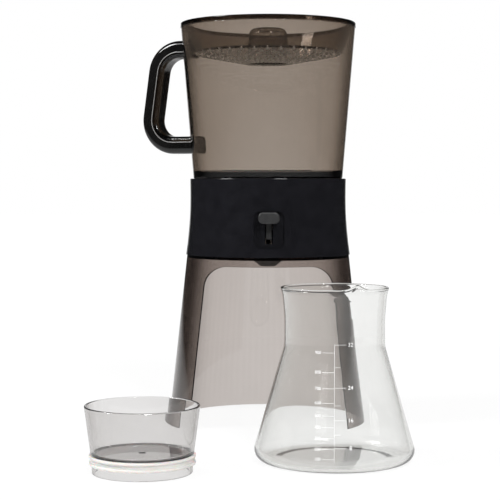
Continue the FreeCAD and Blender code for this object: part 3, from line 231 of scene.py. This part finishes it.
def add_world():
    world = bpy.data.worlds.new("studio")
    scene.world = world
    world.use_nodes = True
    nodes, links = world.node_tree.nodes, world.node_tree.links
    nodes.clear()

    def light(strength):
        node = nodes.new("ShaderNodeBackground")
        node.inputs["Color"].default_value = (1, 1, 1, 1)
        node.inputs["Strength"].default_value = strength
        return node.outputs[0]

    direction = nodes.new("ShaderNodeTexCoord")
    split = nodes.new("ShaderNodeSeparateXYZ")
    links.new(direction.outputs["Generated"], split.inputs[0])
    back = map_range(nodes, links, split.outputs["Y"], BACK_START, BACK_FULL)
    white = light(1.0)
    gloss = mix_shaders(nodes, links, back, light(FRONT_SHEEN), white)
    path = nodes.new("ShaderNodeLightPath")
    lit = mix_shaders(nodes, links, path.outputs["Is Glossy Ray"], light(ROOM_LIGHT), gloss)
    whole = mix_shaders(nodes, links, seen_rays(nodes, links, path), lit, white)
    output = nodes.new("ShaderNodeOutputWorld")
    links.new(whole, output.inputs["Surface"])


def floor_material():
    """Paper for light, white for the camera, and a reflection that fades with the distance."""
    material = bpy.data.materials.new("floor")
    material.use_nodes = True
    nodes, links = material.node_tree.nodes, material.node_tree.links
    nodes.clear()
    paper = nodes.new("ShaderNodeBsdfDiffuse")
    paper.inputs["Color"].default_value = (PAPER_GREY, PAPER_GREY, PAPER_GREY, 1)
    place = nodes.new("ShaderNodeTexCoord")
    reach = nodes.new("ShaderNodeVectorMath")
    reach.operation = "LENGTH"
    links.new(place.outputs["Object"], reach.inputs[0])
    away = reach.outputs["Value"]
    fade = map_range(
        nodes, links, away, FLOOR_FADE_START, FLOOR_FADE_END, WHITE_SHARE, 1.0, smooth=True)
    white = nodes.new("ShaderNodeEmission")
    white.inputs["Strength"].default_value = WHITE_STRENGTH
    pale = mix_shaders(nodes, links, fade, paper.outputs[0], white.outputs[0])
    dim = map_range(
        nodes, links, away, SHEEN_START, SHEEN_END, SHEEN_NEAR, SHEEN_FAR, smooth=True)
    sheen = nodes.new("ShaderNodeEmission")
    links.new(dim, sheen.inputs["Strength"])
    path = nodes.new("ShaderNodeLightPath")
    gloss = mix_shaders(
        nodes, links, path.outputs["Is Glossy Ray"], paper.outputs[0], sheen.outputs[0])
    whole = mix_shaders(nodes, links, seen_rays(nodes, links, path), gloss, pale)
    output = nodes.new("ShaderNodeOutputMaterial")
    links.new(whole, output.inputs["Surface"])
    return material


def add_floor():
    half = FLOOR_HALF
    mesh = bpy.data.meshes.new("floor")
    corners = [(-half, -half, 0), (half, -half, 0), (half, half, 0), (-half, half, 0)]
    mesh.from_pydata(corners, [], [(0, 1, 2, 3)])
    mesh.materials.append(floor_material())
    floor = bpy.data.objects.new("floor", mesh)
    scene.collection.objects.link(floor)
    floor.location.z = -FLOOR_DROP


def add_softbox(name, turn, high, away, width, length, watts):
    """An area lamp at an angle from the front, aimed at the tower's middle."""
    lamp = bpy.data.lights.new(name, "AREA")
    lamp.shape = "RECTANGLE"
    lamp.size = width
    lamp.size_y = length
    lamp.energy = watts
    holder = bpy.data.objects.new(name, lamp)
    scene.collection.objects.link(holder)
    angle = math.radians(turn)
    holder.location = (away * math.sin(angle), -away * math.cos(angle), high)
    aim = Vector(LAMP_AIM) - holder.location
    holder.rotation_euler = aim.to_track_quat("-Z", "Y").to_euler()


def new_material(name):
    material = bpy.data.materials.new(name)
    material.use_nodes = True
    nodes, links = material.node_tree.nodes, material.node_tree.links
    shader = nodes["Principled BSDF"]
    place = nodes.new("ShaderNodeTexCoord")
    return SimpleNamespace(
        material=material, nodes=nodes, links=links, shader=shader, place=place.outputs["Object"],
        output=nodes["Material Output"])


def set_sockets(shader, **values):
    for name, value in values.items():
        shader.inputs[name.replace("_", " ")].default_value = value


def noise(made, scale):
    """A noise value over the object's own space. The scale is in cycles per metre."""
    texture = made.nodes.new("ShaderNodeTexNoise")
    texture.inputs["Scale"].default_value = scale
    texture.inputs["Detail"].default_value = 3.0
    made.links.new(made.place, texture.inputs["Vector"])
    return texture.outputs["Fac"]


def spread(made, value, low, high):
    """Map a noise value to a range."""
    return map_range(made.nodes, made.links, value, NOISE_LOW, NOISE_HIGH, low, high)


def vary_roughness(made, scale, low, high):
    made.links.new(spread(made, noise(made, scale), low, high), made.shader.inputs["Roughness"])


def vary_colour(made, scale, dark, light):
    mix = made.nodes.new("ShaderNodeMix")
    mix.data_type = "RGBA"
    mix.inputs["A"].default_value = (*dark, 1)
    mix.inputs["B"].default_value = (*light, 1)
    made.links.new(spread(made, noise(made, scale), 0.0, 1.0), mix.inputs["Factor"])
    made.links.new(mix.outputs["Result"], made.shader.inputs["Base Color"])


def add_bump(made, scale, depth):
    """Fine relief, its depth in metres."""
    bump = made.nodes.new("ShaderNodeBump")
    bump.inputs["Strength"].default_value = 1.0
    bump.inputs["Distance"].default_value = depth
    made.links.new(noise(made, scale), bump.inputs["Height"])
    made.links.new(bump.outputs[0], made.shader.inputs["Normal"])


def paint_shade(made, share, dark):
    """Mix a dark colour into the base colour, by a share, as painted shade."""
    mix = made.nodes.new("ShaderNodeMix")
    mix.data_type = "RGBA"
    made.links.new(share, mix.inputs["Factor"])
    base = made.shader.inputs["Base Color"]
    made.links.new(base.links[0].from_socket, mix.inputs["A"])
    mix.inputs["B"].default_value = (*dark, 1)
    made.links.new(mix.outputs["Result"], base)


def paint_edge_shade(made, start, end, dark, above=None):
    """Painted shade where a wall is seen edge on; with a height given, the base colour is also
    darker above it, on the tray's thick rim.
    """
    nodes, links = made.nodes, made.links
    facing = nodes.new("ShaderNodeLayerWeight")
    facing.inputs["Blend"].default_value = 0.5
    share = map_range(nodes, links, facing.outputs["Facing"], start, end, smooth=True)
    if above is not None:
        split = nodes.new("ShaderNodeSeparateXYZ")
        links.new(made.place, split.inputs[0])
        rim = map_range(nodes, links, split.outputs["Z"], above, above + RIM_BLEND)
        share = math_node(nodes, links, "MAXIMUM", share, rim)
    paint_shade(made, share, dark)


def paint_cut_shade(made, dark):
    """Painted shade on faces that cut across a turned wall, such as an opening's edge: the base
    colour darkens there.
    """
    nodes, links = made.nodes, made.links
    level = nodes.new("ShaderNodeVectorMath")
    level.operation = "MULTIPLY"
    level.inputs[1].default_value = (1, 1, 0)
    links.new(made.place, level.inputs[0])
    radial = nodes.new("ShaderNodeVectorMath")
    radial.operation = "NORMALIZE"
    links.new(level.outputs[0], radial.inputs[0])
    normal = nodes.new("ShaderNodeTexCoord")
    dot = nodes.new("ShaderNodeVectorMath")
    dot.operation = "DOT_PRODUCT"
    links.new(radial.outputs[0], dot.inputs[0])
    links.new(normal.outputs["Normal"], dot.inputs[1])
    size = math_node(nodes, links, "ABSOLUTE", dot.outputs["Value"])
    paint_shade(made, math_node(nodes, links, "LESS_THAN", size, CUT_SHARE), dark)


def clear_material(name, ior, passed, density, rough, edge=None, cut=None):
    """Clear stuff that takes up light along its depth. passed is the colour it takes up least."""
    made = new_material(name)
    set_sockets(made.shader, Transmission_Weight=1.0, IOR=ior)
    vary_colour(made, CLEAR_CLOUDS, CLEAR_DULL, CLEAR_BRIGHT)
    # Painted shade where a wall is seen edge on, when asked for
    if edge is not None:
        paint_edge_shade(made, *edge)
    # Painted shade on cut faces, when asked for
    if cut is not None:
        paint_cut_shade(made, cut)
    vary_roughness(made, CLEAR_GRAIN, rough * 0.5, rough * 1.5)
    add_bump(made, CLEAR_WAVES, CLEAR_WAVE_DEPTH)
    depth = made.nodes.new("ShaderNodeVolumeAbsorption")
    depth.inputs["Color"].default_value = (*passed, 1)
    depth.inputs["Density"].default_value = density
    made.links.new(depth.outputs[0], made.output.inputs["Volume"])
    return made.material


def solid_material(name, dark, light, rough_low, rough_high, grain, bump=0.0, **sockets):
    made = new_material(name)
    set_sockets(made.shader, **sockets)
    vary_colour(made, grain * 0.1, dark, light)
    vary_roughness(made, grain, rough_low, rough_high)
    if bump:
        add_bump(made, grain, bump)
    return made.material


def rounded(corners):
    """Points of an open outline, with arcs at the corners that have a third value, a radius."""
    points = []
    for index, corner in enumerate(corners):
        here = Vector(corner[:2])
        if len(corner) == 2:
            points.append(tuple(here))
            continue
        back = (Vector(corners[index - 1][:2]) - here).normalized()
        ahead = (Vector(corners[index + 1][:2]) - here).normalized()
        half = back.angle(ahead) / 2
        centre = here + (back + ahead).normalized() * (corner[2] / math.sin(half))
        reach = corner[2] / math.tan(half)
        start, end = here + back * reach - centre, here + ahead * reach - centre
        first = math.atan2(start.y, start.x)
        sweep = (math.atan2(end.y, end.x) - first + math.pi) % math.tau - math.pi
        steps = max(3, round(abs(sweep) / math.radians(ARC_STEP)))
        for step in range(steps + 1):
            angle = first + sweep * step / steps
            points.append((
                centre.x + corner[2] * math.cos(angle), centre.y + corner[2] * math.sin(angle)))
    return points


def turned_mesh(name, profile, angles, shape, centre):
    """A closed solid from a profile of (radius, height) turned through the angles, in mm."""
    points, rings, faces = [], [], []
    for entry in profile:
        if entry[0] < 0.001:
            rings.append([len(points)])
            points.append((centre[0] * MM, centre[1] * MM, entry[1] * MM))
            continue
        ring = []
        for angle in angles:
            radius, height = shape(entry, angle)
            ring.append(len(points))
            points.append((
                (centre[0] + radius * math.cos(angle)) * MM,
                (centre[1] + radius * math.sin(angle)) * MM,
                height * MM))
        rings.append(ring)
    count = len(angles)
    for low, high in zip(rings, rings[1:]):
        for here in range(count):
            after = (here + 1) % count
            corners = [
                low[here % len(low)], low[after % len(low)],
                high[after % len(high)], high[here % len(high)]]
            faces.append(list(dict.fromkeys(corners)))
    return solid_mesh(name, points, faces)


def solid_mesh(name, points, faces):
    mesh = bpy.data.meshes.new(name)
    mesh.from_pydata(points, [], faces)
    work = bmesh.new()
    work.from_mesh(mesh)
    bmesh.ops.recalc_face_normals(work, faces=work.faces)
    work.to_mesh(mesh)
    work.free()
    mesh.polygons.foreach_set("use_smooth", [True] * len(mesh.polygons))
    mesh.set_sharp_from_angle(angle=math.radians(SHARP_ANGLE))
    return mesh


def place_piece(name, mesh, body, material, replaced=()):
    piece = bpy.data.objects.new(name, mesh)
    scene.collection.objects.link(piece)
    mesh.materials.append(material)
    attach(piece, body)
    if replaced:
        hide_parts(*replaced)
    return piece


def bell(angle, middle, width):
    """1 where the angle (in radians) is the middle one, fading over the width (in degrees)."""
    off = (math.degrees(angle) - middle + 180) % 360 - 180
    return math.exp(-((off / width) ** 2))


def carafe_shape(entry, angle):
    """The neck's top is drawn out into a pouring lip, with a pinch to its left."""
    radius, height = entry
    share = max(0.0, (height - POUR_LOW) / (POUR_TOP - POUR_LOW))
    drawn = share * share * (3 - 2 * min(share, 1.0))
    out = POUR_OUT * bell(angle, POUR_TURN, POUR_WIDTH)
    out -= PINCH_IN * bell(angle, PINCH_TURN, PINCH_WIDTH)
    lift = POUR_LIFT * bell(angle, POUR_LIFT_TURN, POUR_LIFT_WIDTH)
    return radius + out * drawn, height + lift * drawn


def carafe_radius(height):
    """Outer radius of the carafe's wall, by its outline."""
    outline = [p for p in rounded(CARAFE_OUTSIDE) if p[0] > FOOT_CENTRE]
    for (r0, z0), (r1, z1) in zip(outline, outline[1:]):
        if z0 <= height <= z1 and z1 > z0:
            return r0 + (r1 - r0) * (height - z0) / (z1 - z0)
    return outline[-1][0]


def make_carafe(kit):
    angles = []
    degree = 0.0
    while degree < 359.99:
        angles.append(math.radians(degree + POUR_TURN))
        near = degree < FINE_REACH or degree >= 360 - FINE_REACH
        degree += FINE_STEP if near else COARSE_STEP
    bead = []
    for step in range(BEAD_STEPS + 1):
        angle = math.radians(BEAD_START + BEAD_SWEEP * step / BEAD_STEPS)
        bead.append((
            RIM_RADIUS + BEAD_RADIUS * math.cos(angle),
            POUR_TOP - BEAD_RADIUS + BEAD_RADIUS * math.sin(angle)))
    profile = rounded(CARAFE_OUTSIDE)[:-1] + bead + rounded(CARAFE_INSIDE)[1:]
    mesh = turned_mesh("carafe_body", profile, angles, carafe_shape, (CARAFE_X, CARAFE_Y))
    place_piece("carafe_body", mesh, "carafe", kit.glass, ["carafe_glass"])


def on_carafe(x, z, away):
    """A point off the carafe's wall: x across from the scale's line, z up, away from the glass."""
    radius = carafe_radius(z)
    angle = math.radians(SCALE_TURN) + x / radius
    radius += away
    return (
        (CARAFE_X + radius * math.cos(angle)) * MM,
        (CARAFE_Y + radius * math.sin(angle)) * MM,
        z * MM)


def ink_bar(points, faces, x0, x1, z0, z1):
    """A thin bar of print that follows the glass."""
    across = max(1, round(abs(x1 - x0) / INK_ACROSS))
    up = max(1, round(abs(z1 - z0) / INK_UP))
    first = len(points)
    for layer in (INK_OFF, INK_OFF + INK):
        for j in range(up + 1):
            for i in range(across + 1):
                x, z = x0 + (x1 - x0) * i / across, z0 + (z1 - z0) * j / up
                points.append(on_carafe(x, z, layer))
    row = across + 1
    top = row * (up + 1)

    def at(i, j, layer):
        return first + layer * top + j * row + i

    for j in range(up):
        for i in range(across):
            for layer in (0, 1):
                corners = (i, j), (i + 1, j), (i + 1, j + 1), (i, j + 1)
                faces.append([at(a, b, layer) for a, b in corners])
    rim = [(i, 0) for i in range(across)] + [(across, j) for j in range(up)]
    rim += [(i, up) for i in range(across, 0, -1)] + [(0, j) for j in range(up, 0, -1)]
    for (a, b), (c, d) in zip(rim, rim[1:] + rim[:1]):
        faces.append([at(a, b, 0), at(c, d, 0), at(c, d, 1), at(a, b, 1)])


def ink_number(points, faces, words, middle_x, middle_z, high):
    """Plain figures from the font that comes with the program, wrapped onto the glass."""
    curve = bpy.data.curves.new("figures", "FONT")
    curve.body = words
    curve.align_x = "CENTER"
    curve.align_y = "CENTER"
    curve.size = high / CAPITAL_SHARE
    curve.resolution_u = CURVE_STEPS
    holder = bpy.data.objects.new("figures", curve)
    scene.collection.objects.link(holder)
    bpy.context.view_layer.update()
    flat = bpy.data.meshes.new_from_object(holder)
    work = bmesh.new()
    work.from_mesh(flat)
    grown = bmesh.ops.extrude_face_region(work, geom=list(work.faces))
    lifted = {item for item in grown["geom"] if isinstance(item, bmesh.types.BMVert)}
    work.verts.index_update()
    first = len(points)
    for vert in work.verts:
        away = INK_OFF + (INK if vert in lifted else 0.0)
        points.append(on_carafe(middle_x + vert.co.x, middle_z + vert.co.y, away))
    for face in work.faces:
        faces.append([first + vert.index for vert in face.verts])
    work.free()
    bpy.data.meshes.remove(flat)
    bpy.data.objects.remove(holder)
    bpy.data.curves.remove(curve)


def make_scale(kit):
    points, faces = [], []
    ink_bar(points, faces, -LINE_HALF, LINE_HALF, SCALE_LOW, SCALE_TOP)
    for height, words in SCALE_LEFT:
        low, high = height - LINE_HALF, height + LINE_HALF
        ink_bar(points, faces, -TICK_LONG, -TICK_START, low, high)
        ink_number(points, faces, words, LEFT_NUMBER, height, LEFT_HIGH)
    for height, words in SCALE_RIGHT:
        low, high = height - LINE_HALF, height + LINE_HALF
        ink_bar(points, faces, TICK_START, TICK_LONG if words else TICK_SHORT, low, high)
        if words:
            ink_number(points, faces, words, RIGHT_NUMBER, height, RIGHT_HIGH)
    mesh = solid_mesh("carafe_scale", points, faces)
    place_piece("carafe_scale", mesh, "carafe", kit.ink)


def make_drip_nubs(kit):
    """A short drip tip under every hole of the tray's floor, leaning with the dish, near-white as
    painted glints.
    """
    points, faces = [], []
    step = (HOLE_FIRST - HOLE_LAST) / (HOLE_RINGS - 1)
    slope = (DISH_HIGH - DISH_LOW) / (DISH_OUT - DISH_IN)
    rows = len(TIP_SECTION)
    for ring in range(HOLE_RINGS):
        away = HOLE_FIRST - step * (1 + (HOLE_RINGS - 1 - ring) * HOLE_CROWD) * ring
        under = DISH_LOW + (DISH_HIGH - DISH_LOW) * (away - DISH_IN) / (DISH_OUT - DISH_IN)
        for place in range(HOLE_ROW):
            turn = math.radians((place + (ring % 2) / 2) * 360 / HOLE_ROW - HOLE_TURN)
            first = len(points)
            for radius, height in TIP_SECTION:
                for side in range(TIP_SIDES):
                    angle = math.tau * side / TIP_SIDES
                    out = away + radius * math.cos(angle)
                    across = radius * math.sin(angle)
                    lean = slope * radius * math.cos(angle)
                    points.append((
                        (out * math.cos(turn) - across * math.sin(turn)) * MM,
                        (out * math.sin(turn) + across * math.cos(turn)) * MM,
                        (under + height + lean) * MM))
            for row in range(rows):
                for side in range(TIP_SIDES):
                    low = first + row * TIP_SIDES
                    high = first + (row + 1) % rows * TIP_SIDES
                    after = (side + 1) % TIP_SIDES
                    faces.append([low + side, low + after, high + after, high + side])
    mesh = solid_mesh("drip_nubs", points, faces)
    place_piece("drip_nubs", mesh, "rainmaker", kit.frosted_tip)


def tube_faces(faces, first, rows, sides):
    """Walls and ends of a tube whose rings of points follow one another from the first."""
    for row in range(rows - 1):
        for corner in range(sides):
            a = first + row * sides + corner
            b = first + row * sides + (corner + 1) % sides
            faces.append([a, b, b + sides, a + sides])
    last = first + (rows - 1) * sides
    faces.append([first + corner for corner in range(sides)])
    faces.append([last + corner for corner in reversed(range(sides))])


def seam_path():
    """The joint line in the handle's plane, as (distance from the axis, height)."""
    leg = Vector((HANDLE_LOW_REACH - HANDLE_TOP_REACH, HANDLE_LOW_Z - HANDLE_TOP_Z))
    slant = leg.normalized()
    line = Vector((HANDLE_TOP_REACH, HANDLE_TOP_Z)) + Vector((slant.y, -slant.x)) * SEAM_IN
    top_z, low_z = HANDLE_TOP_Z - SEAM_IN, HANDLE_LOW_Z + SEAM_IN
    bend = HANDLE_BEND - SEAM_IN

    def on_leg(height):
        return line.x + slant.x * (height - line.y) / slant.y

    return rounded([
        (WALL_AT_TOP, top_z), (on_leg(top_z), top_z, bend),
        (on_leg(low_z), low_z, bend), (WALL_AT_LOW, low_z)])


def make_handle_seam(kit):
    """A fine bead in the joint between the handle's shell and its liner, on both sides, light grey
    as a painted highlight along the joint.
    """
    path = seam_path()
    turn = math.radians(180 - HANDLE_TURN)
    out = Vector((math.cos(turn), math.sin(turn), 0))
    side = Vector((-math.sin(turn), math.cos(turn), 0))
    points, faces = [], []
    for across in (-SEAM_ACROSS, SEAM_ACROSS):
        start = len(points)
        for index, (away, height) in enumerate(path):
            back, ahead = path[max(index - 1, 0)], path[min(index + 1, len(path) - 1)]
            along = Vector((ahead[0] - back[0], ahead[1] - back[1])).normalized()
            for corner in range(SEAM_SIDES):
                angle = math.tau * corner / SEAM_SIDES
                rise = SEAM_RADIUS * math.sin(angle)
                middle = away - along.y * rise, height + along.x * rise
                spot = out * middle[0] + side * (across + SEAM_RADIUS * math.cos(angle))
                points.append((spot.x * MM, spot.y * MM, middle[1] * MM))
        tube_faces(faces, start, len(path), SEAM_SIDES)
    mesh = solid_mesh("handle_seam", points, faces)
    place_piece("handle_seam", mesh, "container", kit.seam)


def make_spring(kit):
    """The valve's spring, its top held by the cage's roof."""
    points, faces = [], []
    rows = SPRING_TURNS * SPRING_STEPS
    for row in range(rows + 1):
        turn = math.tau * SPRING_TURNS * row / rows
        height = SPRING_LOW + (SPRING_TOP - SPRING_LOW) * row / rows
        for side in range(SPRING_SIDES):
            angle = math.tau * side / SPRING_SIDES
            reach = SPRING_RADIUS + SPRING_WIRE / 2 * math.cos(angle)
            points.append((
                reach * math.cos(turn) * MM, reach * math.sin(turn) * MM,
                (height + SPRING_WIRE / 2 * math.sin(angle)) * MM))
    tube_faces(faces, 0, rows + 1, SPRING_SIDES)
    mesh = solid_mesh("valve_coil", points, faces)
    piece = place_piece("valve_coil", mesh, "container", kit.steel, ["valve_spring"])
    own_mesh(piece)


def make_filter_cloth(kit):
    """Plain weave of fine wire, each wire a square tube over one and under the next."""
    points, faces = [], []
    square = (-1, 0), (0, -1), (1, 0), (0, 1)
    half = int(CLOTH_RADIUS / CLOTH_PITCH)
    for way in (0, 1):
        for line in range(-half, half + 1):
            side = line * CLOTH_PITCH
            reach = math.sqrt(CLOTH_RADIUS ** 2 - side ** 2)
            steps = max(2, int(2 * reach / CLOTH_PITCH) * 2)
            start = len(points)
            for step in range(steps + 1):
                along = -reach + 2 * reach * step / steps
                phase = math.pi * (along / CLOTH_PITCH + line + way)
                wave = math.cos(phase) * CLOTH_WIRE * CLOTH_WAVE
                for across, up in square:
                    x, y = along, side + across * CLOTH_WIRE / 2
                    z = CLOTH_Z + wave + up * CLOTH_WIRE / 2
                    points.append(((x if way else y) * MM, (y if way else x) * MM, z * MM))
            tube_faces(faces, start, steps + 1, len(square))
    mesh = solid_mesh("filter_cloth", points, faces)
    place_piece("filter_cloth", mesh, "filter", kit.steel_mesh, ["filter_mesh"])


def make_materials():
    """Clear: IOR, passed colour, density, roughness. Solid: two colours, two roughnesses."""
    kit = SimpleNamespace()
    smoke = (0.237, 0.12, 0.0)
    # Every edge below is painted shade where a wall is seen edge on: where it starts, where it is
    # full, its dark colour, and for the tray a height above which the base colour is darker too
    kit.smoky = clear_material(
        "smoky_plastic", 1.5, smoke, 278.0, 0.02, edge=(0.40, 0.84, (0.34, 0.32, 0.30)))
    kit.smoky_tray = clear_material(
        "smoky_tray", 1.5, smoke, 278.0, 0.02, edge=(0.45, 0.95, (0.30, 0.28, 0.27), TRAY_RIM))
    # The stand's cut is the dark colour of painted shade on its cut faces
    kit.smoky_stand = clear_material(
        "smoky_stand", 1.5, (0.18, 0.068, 0.0), 278.0, 0.02,
        edge=(0.22, 0.66, (0.13, 0.115, 0.11)), cut=(0.10, 0.09, 0.085))
    kit.handle_brown = clear_material("handle_brown", 1.5, (0.20, 0.12, 0.03), 230.0, 0.14)
    kit.glass = clear_material(
        "clear_glass", 1.474, (0.10, 0.12, 0.0), 36.0, 0.004,
        edge=(0.45, 0.95, (0.80, 0.80, 0.80)))
    kit.pale = clear_material(
        "grey_clear_plastic", 1.5, (0.10, 0.05, 0.02), 105.0, 0.012,
        edge=(0.45, 0.95, (0.80, 0.79, 0.79)))
    # Near-white drip tips: painted glints in place of the clear plastic's own glints
    kit.frosted_tip = solid_material(
        "frosted_tip", (0.84, 0.83, 0.81), (0.93, 0.92, 0.90), 0.25, 0.4, 2600.0, 0.00001)
    kit.handle_dark = solid_material(
        "handle_dark", (0.004, 0.0039, 0.0038), (0.007, 0.0068, 0.0066), 0.05, 0.10, 900.0,
        0.000003)
    # Light grey bead: a painted highlight along the handle's joint
    kit.seam = solid_material(
        "handle_seam", (0.20, 0.195, 0.19), (0.26, 0.255, 0.25), 0.18, 0.28, 2600.0, 0.000003)
    kit.ink = solid_material(
        "white_print", (0.74, 0.74, 0.74), (0.80, 0.80, 0.80), 0.35, 0.5, 3000.0, 0.000004)
    kit.black_gloss = solid_material(
        "black_gloss", (0.006, 0.006, 0.0075), (0.009, 0.009, 0.011), 0.06, 0.12, 900.0, 0.000004)
    kit.black_matte = solid_material(
        "black_matte", (0.018, 0.018, 0.019), (0.03, 0.03, 0.031), 0.45, 0.6, 2600.0, 0.00003)
    kit.grey = solid_material(
        "grey_plastic", (0.012, 0.012, 0.0125), (0.019, 0.019, 0.020), 0.38, 0.5, 2600.0, 0.00002)
    kit.white = solid_material(
        "white_plastic", (0.70, 0.70, 0.68), (0.76, 0.76, 0.74), 0.35, 0.5, 1500.0, 0.00001)
    kit.steel = solid_material(
        "steel", (0.56, 0.56, 0.57), (0.66, 0.66, 0.67), 0.18, 0.34, 3000.0, 0.000006, Metallic=1.0)
    kit.steel_mesh = solid_material(
        "steel_mesh", (0.40, 0.40, 0.41), (0.62, 0.62, 0.63), 0.25, 0.4, 4000.0, 0.00004,
        Metallic=1.0)
    kit.silicone = solid_material(
        "silicone", (0.60, 0.59, 0.565), (0.66, 0.65, 0.625), 0.42, 0.55, 1200.0, 0.00001,
        Subsurface_Weight=0.3, Subsurface_Scale=0.004)
    return kit


def paint_nodes(kit):
    finishes = {
        kit.smoky: ["brewing_container"],
        kit.smoky_tray: ["rainmaker_tray"],
        kit.smoky_stand: ["stand_shell"],
        kit.pale: ["stopper_cup"],
        kit.handle_dark: ["handle_shell"],
        kit.handle_brown: ["handle_liner"],
        kit.black_gloss: ["collar_cover"],
        kit.black_matte: ["collar_core", "drain_tube", "drip_spout", "valve_cage"],
        kit.grey: ["release_lever", "lever_thumb"],
        kit.white: ["lift_rod", "plug_stem"],
        kit.silicone: ["valve_gasket", "valve_plug", "filter_gasket", "stopper_seal"],
        kit.steel: [
            "lever_pin", "collar_screws", "detent_leaf", "leaf_screw", "filter_frame"],
    }
    for material, names in finishes.items():
        for name in names:
            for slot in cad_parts[name].material_slots:
                slot.material = material


scene.view_settings.view_transform = "Standard"
add_camera()
add_world()
add_floor()
for softbox in SOFTBOXES:
    add_softbox(*softbox)
materials = make_materials()
paint_nodes(materials)
make_carafe(materials)
make_scale(materials)
make_drip_nubs(materials)
make_handle_seam(materials)
make_spring(materials)
make_filter_cloth(materials)
